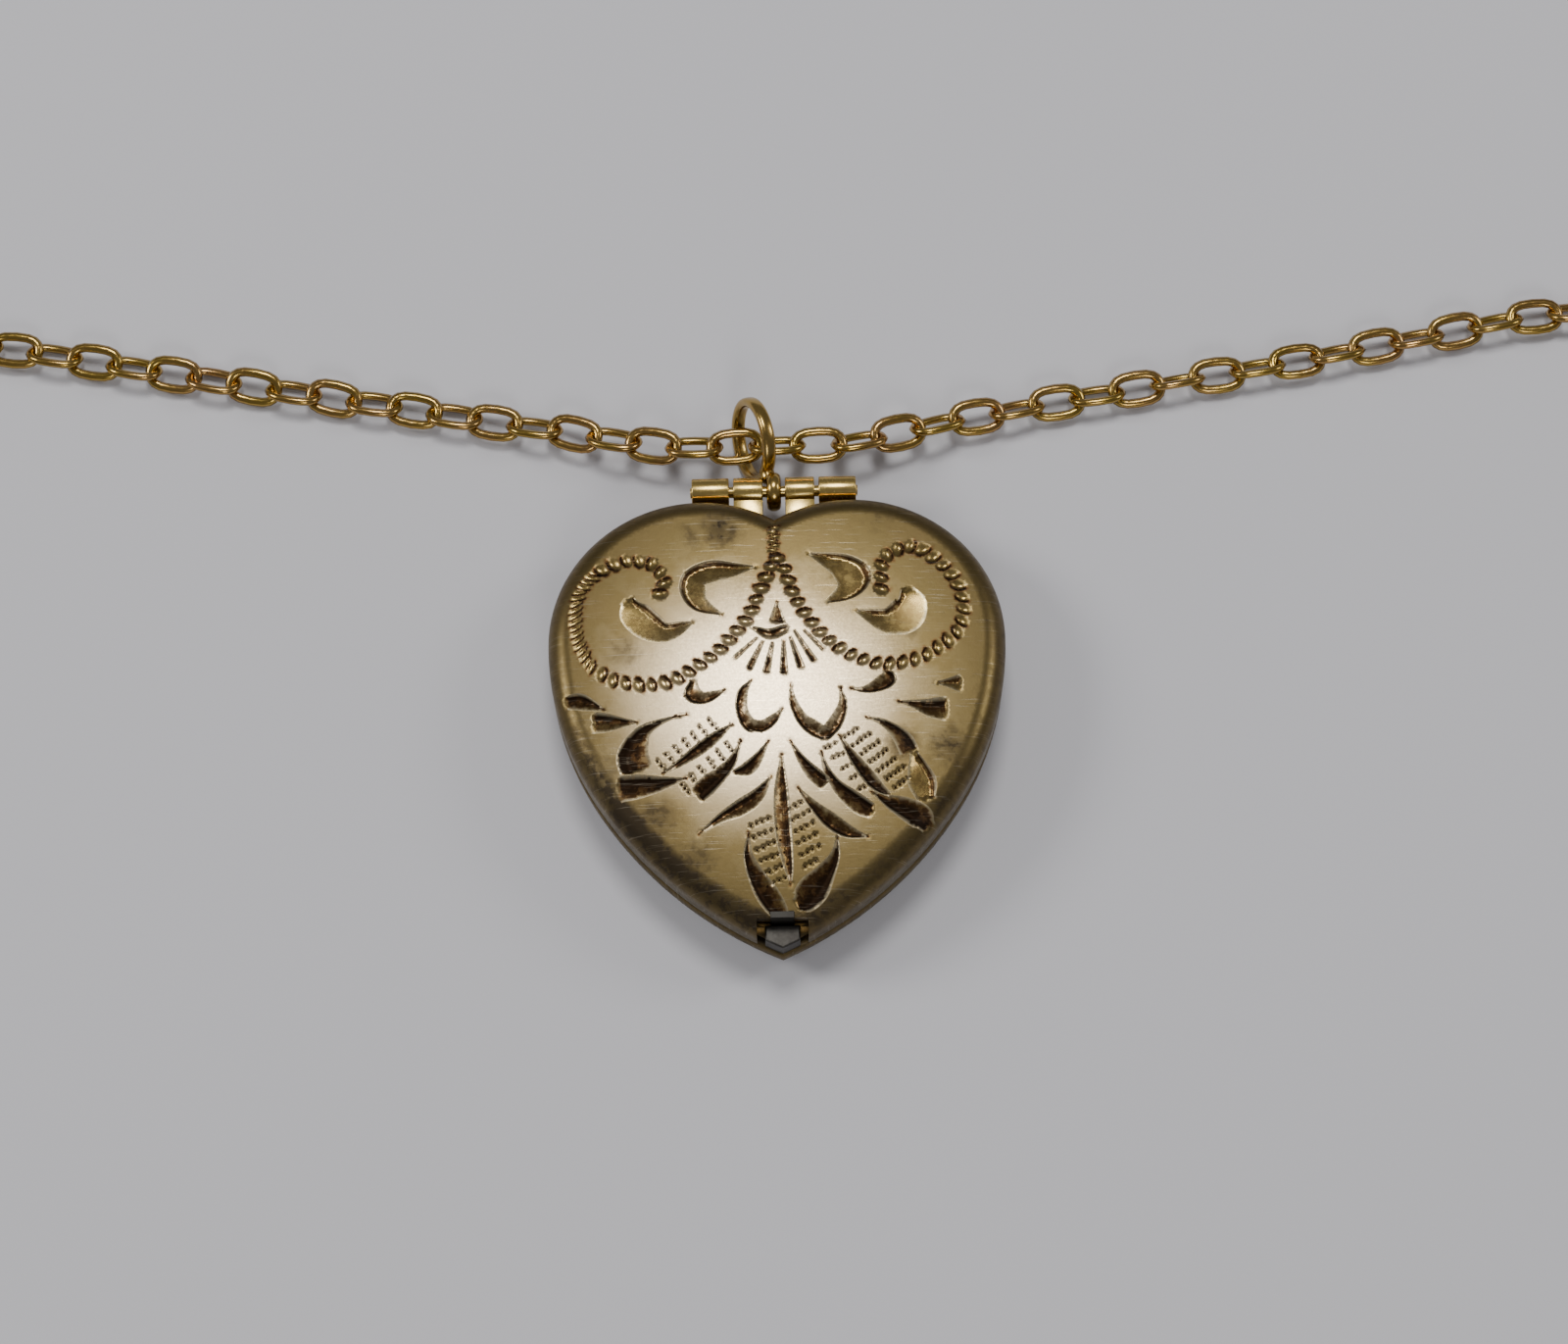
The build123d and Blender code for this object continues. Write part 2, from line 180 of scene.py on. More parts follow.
def cut_away(obj, tool):
    """Subtract a tool from a piece and drop the tool."""
    apply_modifier(obj, "BOOLEAN", object=tool, operation="DIFFERENCE", solver="EXACT")
    bpy.data.objects.remove(tool)


def box_tool(low, high):
    """Box between two corners, in millimetres."""
    centre = [(a + b) / 2 * MM for a, b in zip(low, high)]
    bpy.ops.mesh.primitive_cube_add(size=1, location=centre)
    tool = bpy.context.object
    tool.scale = [(b - a) * MM for a, b in zip(low, high)]
    settle(tool)
    return tool


# ---- Chain: one line for each half, with a coil of the length that lies out of the way
def chain_line(name, route, side):
    """Line of one half of the chain, from the middle of the bail into its coil."""
    end_y = route[-1][1]
    centre_y = end_y - COIL_START
    points = [CHAIN_MIDDLE] + route
    for k in range(int(COIL_TURNS * COIL_POINTS) + 1):
        angle = 2 * math.pi * k / COIL_POINTS
        radius = COIL_START - COIL_PITCH * k / COIL_POINTS
        x = side * (COIL_X + radius * math.sin(angle))
        points.append((x, centre_y + radius * math.cos(angle), COIL_HEIGHT))
    data = bpy.data.curves.new(name, "CURVE")
    data.dimensions = "3D"
    spline = data.splines.new("NURBS")
    spline.points.add(len(points) - 1)
    for point, place in zip(spline.points, points):
        point.co = (place[0] * MM, place[1] * MM, place[2] * MM, 1)
    spline.order_u = 3
    spline.use_endpoint_u = True
    spline.resolution_u = 12
    obj = bpy.data.objects.new(name, data)
    bpy.context.scene.collection.objects.link(obj)
    bpy.context.view_layer.update()
    mesh = bpy.data.meshes.new_from_object(obj)
    line = np.array([v.co for v in mesh.vertices]) / MM
    bpy.data.meshes.remove(mesh)
    bpy.data.objects.remove(obj)
    if np.linalg.norm(line[0] - np.array(CHAIN_MIDDLE)) > 1:
        line = line[::-1]
    return line


def along(line, distances):
    """Points and directions at distances along a line."""
    steps = np.linalg.norm(np.diff(line, axis=0), axis=1)
    reach = np.concatenate([[0], np.cumsum(steps)])
    places = np.stack([np.interp(distances, reach, line[:, k]) for k in range(3)], axis=1)
    ahead = np.stack([np.interp(distances + HEADING_REACH, reach, line[:, k]) for k in range(3)], axis=1)
    behind = np.stack([np.interp(distances - HEADING_REACH, reach, line[:, k]) for k in range(3)], axis=1)
    heading = ahead - behind
    return places, heading / np.linalg.norm(heading, axis=1)[:, None]


def link_shape():
    """One oval link of round wire, its sides pressed a little flat."""
    bpy.ops.mesh.primitive_torus_add(
        major_segments=20, minor_segments=6, major_radius=1.0, minor_radius=LINK_WIRE / 2
    )
    torus = bpy.context.object
    points = np.array([v.co for v in torus.data.vertices])
    faces = [tuple(p.vertices) for p in torus.data.polygons]
    bpy.data.objects.remove(torus)
    angle = np.arctan2(points[:, 1], points[:, 0])
    off = 1.18 * (np.hypot(points[:, 0], points[:, 1]) - 1.0)
    half_length = (LINK_LENGTH - LINK_WIRE) / 2
    half_width = (LINK_WIDTH - LINK_WIRE) / 2
    straight = half_length - half_width
    x = (half_width + off) * np.cos(angle) + straight * np.tanh(2.6 * np.cos(angle))
    y = (half_width + off) * np.sin(angle)
    z = np.clip(points[:, 2] * 1.05, -0.42 * LINK_WIRE, 0.42 * LINK_WIRE)
    return np.stack([x, y, z], axis=1), faces


LINK_POINTS, LINK_FACES = link_shape()


def chain_half(name, line, first, flat_roll, steep_roll):
    """Links of one half of the chain, in one mesh."""
    distances = np.arange(first, CHAIN_HALF - LAST_GAP, LINK_PITCH)
    places, heading = along(line, distances)
    points = []
    faces = []
    for k, (place, ahead) in enumerate(zip(places, heading)):
        across = np.cross([0, 0, 1], ahead)
        across /= np.linalg.norm(across)
        over = np.cross(ahead, across)
        roll = flat_roll if k % 2 == 0 else steep_roll
        roll = math.radians(roll + noise.normal(0, LINK_ROLL_SPREAD))
        yaw = math.radians(noise.normal(0, LINK_YAW_SPREAD))
        wide = across * math.cos(roll) + over * math.sin(roll)
        thick = np.cross(ahead, wide)
        long_way = ahead * math.cos(yaw) + wide * math.sin(yaw)
        wide = wide * math.cos(yaw) - ahead * math.sin(yaw)
        moved = place + LINK_POINTS @ np.stack([long_way, wide, thick])
        lift = LINK_FLOOR - moved[:, 2].min()
        if lift > 0:
            moved[:, 2] += lift
        base = len(LINK_POINTS) * k
        points.extend(moved.tolist())
        faces.extend(tuple(base + i for i in face) for face in LINK_FACES)
    return new_object(name, points, faces)


chain_parts = []
for name, route, side, rolls in (
    ("left_chain", LEFT_ROUTE, -1, (-12, 33)),
    ("right_chain", RIGHT_ROUTE, 1, (-50, 12)),
):
    line = chain_line(name + " line", route, side)
    half = chain_half(name, line, LINK_PITCH / 2, *rolls)
    path, _ = along(line, np.arange(0, CHAIN_HALF, PATH_SPACING))
    start = Vector(CHAIN_MIDDLE) * MM
    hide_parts("chain_left" if side < 0 else "chain_right")
    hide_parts("chain_left_coil" if side < 0 else "chain_right_coil")
    if side > 0:
        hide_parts("chain_centre")
    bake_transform(half)
    chain_parts.append(half)


# ---- Shape of the covers
def outline(inset):
    """Heart drawn in by a distance, from the cleft clockwise round to the cleft again."""
    lobe = LOBE_RADIUS - inset
    flank = FLANK_RADIUS - inset
    cleft_angle = math.acos(-LOBE_X / lobe)
    tip_angle = math.acos(-FLANK_X / flank)
    arcs = (
        (LOBE_X, LOBE_Y, lobe, cleft_angle, 0, 120),
        (SIDE_X, LOBE_Y, SIDE_RADIUS - inset, 0, -SIDE_TURN, 60),
        (FLANK_X, FLANK_Y, flank, -SIDE_TURN, -tip_angle, 80),
    )
    right = []
    for x, y, radius, start, end, count in arcs:
        for k in range(count):
            angle = start + (end - start) * k / count
            right.append((x + radius * math.cos(angle), y + radius * math.sin(angle)))
    right[0] = (0.0, right[0][1])
    right.append((0.0, FLANK_Y - math.sqrt(flank**2 - FLANK_X**2)))
    left = [(-x, y) for x, y in right[-2:0:-1]]
    return np.array(right + left)


def inset_of(x, y):
    """Distance of a point from the heart's edge."""
    x = np.abs(x)
    lobe = LOBE_RADIUS - np.hypot(x - LOBE_X, y - LOBE_Y)
    side = SIDE_RADIUS - np.hypot(x - SIDE_X, y - LOBE_Y)
    flank = FLANK_RADIUS - np.hypot(x - FLANK_X, y - FLANK_Y)
    low = np.where(np.arctan2(y - LOBE_Y, x - SIDE_X) > -SIDE_TURN, side, flank)
    return np.where(y >= LOBE_Y, lobe, low)


def face_height(x, y, thickness=0.0):
    """Height of the pressed face, before the engraving."""
    sphere = CROWN_RADIUS - thickness
    top = PARTING + DOME - CROWN_RADIUS + np.sqrt(sphere**2 - x**2 - (y - CROWN_Y) ** 2)
    roll = ROLL - thickness
    edge = np.clip(inset_of(x, y) - thickness, 0, roll)
    return top - roll + np.sqrt(np.clip(roll**2 - (roll - edge) ** 2, 0, None))


# ---- Engraving. Each cut: side that the deepest line lies on, darkness of the old polish and painted shade in it,
# and points along its middle as (x, y, half width). Positive sides lie to the left of the path.
CUTS = [
    (-0.6, 0.30, [
        (-0.82, 5.09, 0.00), (-1.85, 4.98, 0.28), (-2.75, 4.94, 0.45), (-3.54, 4.62, 0.45),
        (-3.61, 4.03, 0.48), (-3.29, 3.38, 0.32), (-2.32, 2.83, 0.00),
    ]),
    (0.66, 0.25, [
        (-6.44, 3.63, 0.26), (-6.19, 3.08, 0.56), (-5.59, 2.46, 0.58), (-4.87, 2.10, 0.39),
        (-4.15, 2.30, 0.23), (-3.60, 2.55, 0.00),
    ]),
    (0.72, 0.25, [
        (1.45, 5.68, 0.02), (2.25, 5.36, 0.30), (2.95, 5.02, 0.56), (3.28, 4.62, 0.76),
        (3.25, 4.20, 0.62), (2.95, 3.78, 0.34), (2.25, 3.38, 0.06),
    ]),
    (0.66, 0.25, [
        (3.41, 2.93, 0.00), (4.15, 2.64, 0.29), (4.85, 2.45, 0.54), (5.56, 2.69, 0.72),
        (5.87, 3.31, 0.60), (5.75, 3.93, 0.25),
    ]),
    (0.4, 0.6, [(0.03, 3.44, 0.00), (0.01, 2.44, 0.32)]),
    (0.3, 0.6, [(-1.01, 2.16, 0.06), (-0.30, 1.85, 0.22), (0.42, 2.10, 0.18)]),
    (0.0, 0.7, [(-0.87, 1.69, 0.04), (-1.82, 0.80, 0.09)]),
    (0.0, 0.7, [(-0.62, 1.51, 0.05), (-1.22, 0.27, 0.13)]),
    (0.0, 0.7, [(-0.18, 1.45, 0.05), (-0.48, 0.08, 0.14)]),
    (0.0, 0.7, [(0.30, 1.48, 0.05), (0.28, 0.06, 0.15)]),
    (0.0, 0.7, [(0.59, 1.70, 0.05), (1.03, 0.29, 0.14)]),
    (0.0, 0.7, [(0.78, 2.00, 0.04), (1.57, 0.63, 0.13)]),
    (0.0, 0.7, [(1.21, 2.00, 0.04), (2.00, 1.15, 0.09)]),
    (-0.5, 0.65, [
        (-3.64, -0.27, 0.13), (-3.66, -0.78, 0.33), (-3.26, -1.01, 0.23), (-2.78, -0.90, 0.16),
        (-2.27, -0.66, 0.00),
    ]),
    (-0.5, 0.75, [
        (-1.12, -0.24, 0.00), (-1.52, -0.86, 0.18), (-1.56, -1.63, 0.21), (-1.30, -2.23, 0.25),
        (-1.03, -2.45, 0.21),
    ]),
    (-0.5, 0.65, [
        (-1.22, -2.27, 0.21), (-0.70, -2.37, 0.22), (-0.21, -2.05, 0.16), (0.20, -1.58, 0.00),
    ]),
    (-0.5, 0.7, [
        (0.56, -0.48, 0.00), (0.65, -1.25, 0.13), (1.00, -2.03, 0.21), (1.47, -2.46, 0.29),
        (1.99, -2.80, 0.25),
    ]),
    (-0.5, 0.7, [
        (1.99, -2.80, 0.25), (2.45, -2.26, 0.26), (2.79, -1.45, 0.16), (2.69, -0.64, 0.00),
    ]),
    (-0.5, 0.7, [
        (3.13, -0.70, 0.00), (3.69, -0.77, 0.10), (4.26, -0.60, 0.23), (4.76, -0.26, 0.32),
        (4.73, 0.05, 0.13),
    ]),
    (0.4, 0.85, [
        (-9.06, -0.89, 0.26), (-8.61, -0.92, 0.32), (-8.15, -1.08, 0.23), (-7.47, -1.38, 0.00),
    ]),
    (0.4, 0.7, [
        (-7.89, -1.92, 0.41), (-7.31, -1.96, 0.33), (-6.66, -1.99, 0.16), (-6.06, -1.99, 0.00),
    ]),
    (0.3, 0.7, [
        (5.17, -1.32, 0.00), (5.88, -1.44, 0.15), (6.55, -1.59, 0.35), (7.19, -1.63, 0.48),
    ]),
    (0.3, 0.3, [(6.86, -0.44, 0.00), (7.40, -0.45, 0.17), (7.88, -0.45, 0.35)]),
    (-0.3, 0.95, [
        (-3.94, -1.75, 0.00), (-4.84, -1.95, 0.06), (-5.69, -2.35, 0.23), (-6.08, -2.87, 0.43),
        (-6.28, -3.53, 0.60), (-6.15, -4.12, 0.60),
    ]),
    (0.3, 1.0, [
        (-6.78, -4.94, 0.50), (-6.04, -4.88, 0.45), (-5.26, -4.82, 0.30), (-4.55, -4.71, 0.13),
        (-4.02, -4.61, 0.00),
    ]),
    (0.3, 0.85, [
        (-5.00, -4.36, 0.02), (-4.22, -3.90, 0.13), (-3.44, -3.36, 0.22), (-2.72, -2.81, 0.19),
        (-1.95, -2.22, 0.00),
    ]),
    (0.3, 0.95, [
        (-1.63, -2.98, 0.00), (-2.00, -3.85, 0.15), (-2.49, -4.43, 0.26), (-3.07, -4.94, 0.36),
        (-3.47, -5.32, 0.33),
    ]),
    (0.3, 0.8, [
        (-1.88, -4.42, 0.10), (-1.33, -4.26, 0.26), (-0.87, -3.74, 0.16), (-0.44, -3.05, 0.00),
    ]),
    (0.4, 0.75, [
        (-3.49, -7.08, 0.00), (-2.52, -6.41, 0.16), (-1.68, -5.98, 0.30), (-0.96, -5.47, 0.25),
        (-0.35, -4.64, 0.00),
    ]),
    (0.3, 0.7, [
        (0.11, -3.64, 0.00), (0.06, -4.99, 0.22), (0.08, -6.29, 0.30), (0.18, -7.57, 0.27),
        (0.32, -8.63, 0.15), (0.39, -9.39, 0.00),
    ]),
    (-0.5, 0.9, [
        (-1.35, -7.06, 0.00), (-1.40, -8.03, 0.15), (-1.07, -8.95, 0.30), (-0.63, -9.73, 0.41),
        (-0.14, -10.50, 0.33), (-0.02, -10.83, 0.13),
    ]),
    (0.5, 0.95, [
        (2.42, -7.27, 0.00), (2.30, -8.10, 0.16), (1.87, -8.87, 0.36), (1.40, -9.51, 0.56),
        (0.95, -10.02, 0.50), (0.69, -10.20, 0.26),
    ]),
    (0.4, 0.85, [
        (0.49, -3.04, 0.00), (0.94, -3.88, 0.14), (1.43, -4.52, 0.26), (1.92, -4.97, 0.29),
    ]),
    (0.5, 0.9, [
        (1.80, -3.54, 0.00), (2.00, -4.32, 0.10), (2.39, -5.01, 0.19), (2.94, -5.57, 0.31),
        (3.47, -5.99, 0.35), (3.86, -6.19, 0.28),
    ]),
    (-0.4, 0.75, [
        (0.75, -5.13, 0.00), (1.40, -5.90, 0.15), (2.12, -6.59, 0.29), (2.84, -7.08, 0.24),
        (3.75, -7.35, 0.00),
    ]),
    (0.5, 0.85, [
        (3.77, -2.05, 0.00), (4.40, -2.23, 0.10), (4.97, -2.62, 0.22), (5.36, -3.07, 0.33),
        (5.58, -3.53, 0.35),
    ]),
    (0.6, 0.35, [
        (5.81, -3.70, 0.14), (5.96, -4.33, 0.38), (6.11, -4.95, 0.52), (6.25, -5.64, 0.35),
    ]),
    (-0.3, 1.0, [
        (3.95, -5.37, 0.00), (4.68, -5.79, 0.24), (5.33, -6.09, 0.41), (5.99, -6.47, 0.48),
        (6.29, -6.80, 0.30),
    ]),
    (-0.3, 0.95, [
        (2.58, -2.80, 0.00), (3.12, -3.70, 0.15), (3.71, -4.54, 0.24), (4.16, -5.09, 0.21),
        (4.68, -5.51, 0.06),
    ]),
]
LEFT_SCROLL = [
    (-0.17, 5.07), (-0.49, 4.37), (-0.75, 3.76), (-1.02, 3.07), (-1.41, 2.38), (-1.89, 1.84),
    (-2.41, 1.22),
    (-3.01, 0.74), (-3.61, 0.35), (-4.25, -0.03), (-4.89, -0.27), (-5.48, -0.33), (-6.08, -0.30),
    (-6.67, -0.18),
    (-7.18, -0.01), (-7.61, 0.28), (-8.03, 0.63), (-8.33, 1.15), (-8.59, 1.81), (-8.72, 2.47),
    (-8.76, 3.03),
    (-8.72, 3.69), (-8.55, 4.24), (-8.16, 4.73), (-7.69, 5.18), (-7.08, 5.47), (-6.44, 5.62),
    (-5.92, 5.55),
    (-5.36, 5.37), (-5.02, 4.92), (-4.85, 4.30), (-5.07, 3.93),
]
RIGHT_SCROLL = [
    (0.09, 5.45), (0.38, 4.96), (0.62, 4.06), (0.99, 3.25), (1.40, 2.55), (1.85, 1.94),
    (2.43, 1.38), (3.06, 0.92),
    (3.65, 0.64), (4.36, 0.41), (5.08, 0.42), (5.77, 0.56), (6.50, 0.84), (7.20, 1.35),
    (7.81, 1.87), (8.09, 2.48),
    (8.20, 3.13), (8.10, 3.74), (7.91, 4.35), (7.50, 4.96), (7.00, 5.43), (6.50, 5.85),
    (5.94, 6.04), (5.38, 5.89),
    (4.94, 5.64), (4.67, 5.16), (4.61, 4.55), (4.59, 3.93),
]
# Rows of punched dots: first row's start, last row's start, the way to the next dot, rows, dots
PUNCHED = [
    ((-5.22, -3.79), (-3.00, -2.02), (0.16, -0.21), 7, 3),
    ((-4.20, -4.86), (-2.26, -3.10), (0.13, -0.18), 6, 4),
    ((-1.28, -6.77), (-0.60, -9.39), (0.25, 0.10), 6, 5),
    ((0.41, -6.08), (0.99, -8.60), (0.24, 0.13), 6, 4),
    ((2.84, -2.94), (4.96, -5.17), (0.18, 0.13), 7, 5),
    ((2.00, -3.41), (3.42, -5.25), (0.20, 0.11), 5, 4),
]
BEAD_PITCH = 0.57
CUT_STEP = 0.07            # between the mesh points along a cut
SAMPLE_STEP = 0.025        # between the samples of a cut's path
DEEPEST_CUT = 0.19
DOT_DEPTH = 0.07
EDGE_GLINT_WIDTH = 0.035
SCROLL_SLANT = 27          # degrees
TICKS_PAST = -7.9          # the left scroll narrows to double ticks beyond this


def smooth_path(points, step):
    """Even samples along a smooth line through points of any number of values."""
    p = np.array(points, float)
    p = np.vstack([2 * p[0] - p[1], p, 2 * p[-1] - p[-2]])
    fine = []
    for a, b, c, d in zip(p, p[1:], p[2:], p[3:]):
        for t in np.linspace(0, 1, 24, endpoint=False):
            square = (2 * a - 5 * b + 4 * c - d) * t**2
            fine.append(0.5 * (2 * b + (c - a) * t + square + (3 * b - a - 3 * c + d) * t**3))
    fine.append(p[-2])
    fine = np.array(fine)
    reach = np.concatenate([[0], np.cumsum(np.hypot(*np.diff(fine[:, :2], axis=0).T))])
    count = max(3, round(reach[-1] / step) + 1)
    even = np.linspace(0, reach[-1], count)
    return np.stack([np.interp(even, reach, fine[:, k]) for k in range(p.shape[1])], axis=1)


def directions(path):
    """Unit direction at each sample of a path."""
    way = np.gradient(path[:, :2], axis=0)
    return way / np.linalg.norm(way, axis=1)[:, None]


grooves = []
for side, dark, points in CUTS:
    path = smooth_path(points, SAMPLE_STEP)
    path[:, 2] = np.clip(1.12 * path[:, 2] + 0.01, 0.012, None)
    grooves.append((side, dark, path, directions(path)))

# Oval scoops of the two scrolls and the stem: x, y, angle, half length across, half width, depth
scoops = []
for scroll, slant in ((LEFT_SCROLL, SCROLL_SLANT), (RIGHT_SCROLL, -SCROLL_SLANT)):
    path = smooth_path(scroll, BEAD_PITCH)
    way = directions(path)
    for (x, y), (dx, dy) in zip(path, way):
        angle = math.atan2(dy, dx) + math.pi / 2 + math.radians(slant + noise.normal(0, 5))
        ticks = x < TICKS_PAST and scroll is LEFT_SCROLL
        size = noise.uniform(0.92, 1.08)
        if ticks:
            scoops.append((x, y, angle, 0.36 * size, 0.13, 0.07))
            scoops.append((x + dx * 0.28, y + dy * 0.28, angle, 0.33 * size, 0.11, 0.06))
        else:
            scoops.append((x, y, angle, 0.355 * size, 0.235 * size, 0.11))
for k in range(7):
    scoops.append((-0.06 + 0.05 * (-1) ** k, 6.99 - 0.22 * k, math.radians(10 * (-1) ** k), 0.27, 0.10, 0.06))
dots = []
for start, end, way, rows, count in PUNCHED:
    for row in range(rows):
        t = row / (rows - 1)
        shorter = 1 if row in (0, rows - 1) and count > 3 else 0
        for k in range(count - shorter):
            x = start[0] + (end[0] - start[0]) * t + way[0] * k + noise.normal(0, 0.012)
            y = start[1] + (end[1] - start[1]) * t + way[1] * k + noise.normal(0, 0.012)
            dots.append((x, y, noise.uniform(0.055, 0.075)))


def engrave(x, y):
    """Depth of the engraving; darkness of the polish left in it plus painted shade on its steep walls and
    scoop rims; painted highlight on its lit walls and scoop centres; and a painted glint along its edges.
    """
    depth = np.zeros(len(x))
    dark = np.zeros(len(x))
    edge_glint = np.zeros(len(x))
    facet_highlight = np.zeros(len(x))
    for side, polish_and_shade, path, way in grooves:
        reach = path[:, 2].max() + 0.12
        low = path[:, :2].min(0) - reach
        high = path[:, :2].max(0) + reach
        near = np.flatnonzero((x > low[0]) & (x < high[0]) & (y > low[1]) & (y < high[1]))
        if not len(near):
            continue
        dx = x[near][:, None] - path[None, :, 0]
        dy = y[near][:, None] - path[None, :, 1]
        k = np.argmin(dx**2 + dy**2, axis=1)
        rows = np.arange(len(near))
        dx, dy = dx[rows, k], dy[rows, k]
        ahead = dx * way[k, 0] + dy * way[k, 1]
        off = dy * way[k, 0] - dx * way[k, 1]
        half = path[k, 2]
        u = off / half
        inside = (np.abs(u) < 1) & (np.abs(ahead) < 0.03)
        slope = np.where(u > side, (1 - u) / (1 - side), (1 + u) / (1 + side))
        deepest = np.minimum(0.55 * half + 0.01, DEEPEST_CUT)
        d = np.where(inside, deepest * np.clip(slope, 0, 1), 0)
        deeper = d > depth[near]
        depth[near] = np.where(deeper, d, depth[near])
        steep = (u > side) if side > 0 else (u < side)
        # Painted shade: the steep wall is dark whatever the polish.
        shade = np.where(steep, 0.4 + 0.6 * polish_and_shade, polish_and_shade * (0.52 + 0.48 * np.clip(slope, 0, 1) ** 1.5))
        dark[near] = np.where(inside & deeper, shade, dark[near])
        # Painted highlight on the lit wall of the cut.
        facet_highlight[near] = np.where(inside & deeper & ~steep, 1 - 0.6 * polish_and_shade, facet_highlight[near])
        # Painted glint along both edges of each cut.
        edge = (np.abs(np.abs(off) - half) < EDGE_GLINT_WIDTH) & (np.abs(ahead) < 0.03) & (half > 0.05)
        edge_glint[near] = np.maximum(edge_glint[near], np.where(edge, 0.8, 0))
    for sx, sy, angle, long_half, short_half, deep in scoops:
        near = np.flatnonzero((np.abs(x - sx) < long_half * 1.4) & (np.abs(y - sy) < long_half * 1.4))
        if not len(near):
            continue
        dx, dy = x[near] - sx, y[near] - sy
        along_it = (dx * math.cos(angle) + dy * math.sin(angle)) / long_half
        over_it = (dy * math.cos(angle) - dx * math.sin(angle)) / short_half
        rho = np.hypot(along_it, over_it)
        lean = np.clip(over_it, -1, 1)
        depth[near] = np.maximum(depth[near], np.where(rho < 1, deep * (1 - rho**2) * (1 + 0.5 * lean), 0))
        # Painted shade: a dark crescent on one side of each scoop's rim.
        rim = np.exp(-(((rho - 0.95) / 0.34) ** 2)) * np.clip(0.38 + 0.95 * lean, 0, 1)
        dark[near] = np.maximum(dark[near], 0.95 * rim)
        # Painted highlight in the middle of each scoop.
        facet_highlight[near] = np.maximum(facet_highlight[near], np.where(rho < 0.75, 0.8, 0))
    for px, py, size in dots:
        near = np.flatnonzero((np.abs(x - px) < size * 1.3) & (np.abs(y - py) < size * 1.3))
        rho = np.hypot(x[near] - px, y[near] - py) / size
        depth[near] = np.maximum(depth[near], np.where(rho < 1, DOT_DEPTH * (1 - rho**2), 0))
        dark[near] = np.maximum(dark[near], np.where(rho < 0.92, 0.95, 0))
    return depth, dark, edge_glint, facet_highlight


def engraving_points():
    """Points that follow the engraving, so that its lines come out sharp."""
    found = []
    for side, _, path, way in grooves:
        every = max(1, round(CUT_STEP / SAMPLE_STEP))
        for k in range(0, len(path), every):
            x, y, half = path[k]
            across = (-way[k, 1], way[k, 0])
            rows = [side, -1.0, 1.0]
            if half > 0.12:
                rows += [(side - 1) / 2, (side + 1) / 2]
            if half > 0.04:
                rows += [-1 - 0.05 / half, 1 + 0.05 / half]
            for u in rows:
                found.append((x + across[0] * u * half, y + across[1] * u * half))
    for x, y, angle, long_half, short_half, _ in scoops:
        found.append((x, y))
        for rho, count in ((0.55, 8), (1.0, 14), (1.18, 14)):
            for k in range(count):
                turn = 2 * math.pi * (k + 0.5 * (rho > 1.1)) / count
                a, b = long_half * rho * math.cos(turn), short_half * rho * math.sin(turn)
                found_x = x + a * math.cos(angle) - b * math.sin(angle)
                found.append((found_x, y + a * math.sin(angle) + b * math.cos(angle)))
    for x, y, size in dots:
        found.append((x, y))
        for rho in (0.6, 1.0, 1.25):
            for k in range(7):
                turn = 2 * math.pi * k / 7
                found.append((x + size * rho * math.cos(turn), y + size * rho * math.sin(turn)))
    return np.array(found)


def thin_out(points, taken, gap):
    """Points at least a distance from those already taken, and from each other."""
    cells = {}
    kept = []
    reach = gap * gap

    def clash(x, y):
        i, j = int(x // gap), int(y // gap)
        for a in (i - 1, i, i + 1):
            for b in (j - 1, j, j + 1):
                for px, py in cells.get((a, b), ()):
                    if (px - x) ** 2 + (py - y) ** 2 < reach:
                        return True
        return False

    for x, y in taken:
        cells.setdefault((int(x // gap), int(y // gap)), []).append((x, y))
    for x, y in points:
        if not clash(x, y):
            kept.append((x, y))
            cells.setdefault((int(x // gap), int(y // gap)), []).append((x, y))
    return np.array(kept).reshape(-1, 2)


def grid(step, inset):
    """Evenly spaced points inside the heart, in offset rows."""
    rows = np.arange(TIP_Y, LOBE_Y + LOBE_RADIUS, step * 0.87)
    found = []
    for k, y in enumerate(rows):
        for x in np.arange(-10.2, 10.2, step) + step / 2 * (k % 2):
            found.append((x, y))
    found = np.array(found)
    return found[inset_of(found[:, 0], found[:, 1]) > inset]


def filled(loop, rings, inner):
    """Triangles over the area inside a loop, through its rings and inner points."""
    every = [loop] + rings + [inner]
    points = [Vector(p) for p in np.vstack(every)]
    face = list(range(len(loop)))
    verts, _, faces, _, _, _ = delaunay_2d_cdt(points, [], [face], 1, 1e-7)
    return np.array([tuple(v) for v in verts]), [tuple(f) for f in faces]


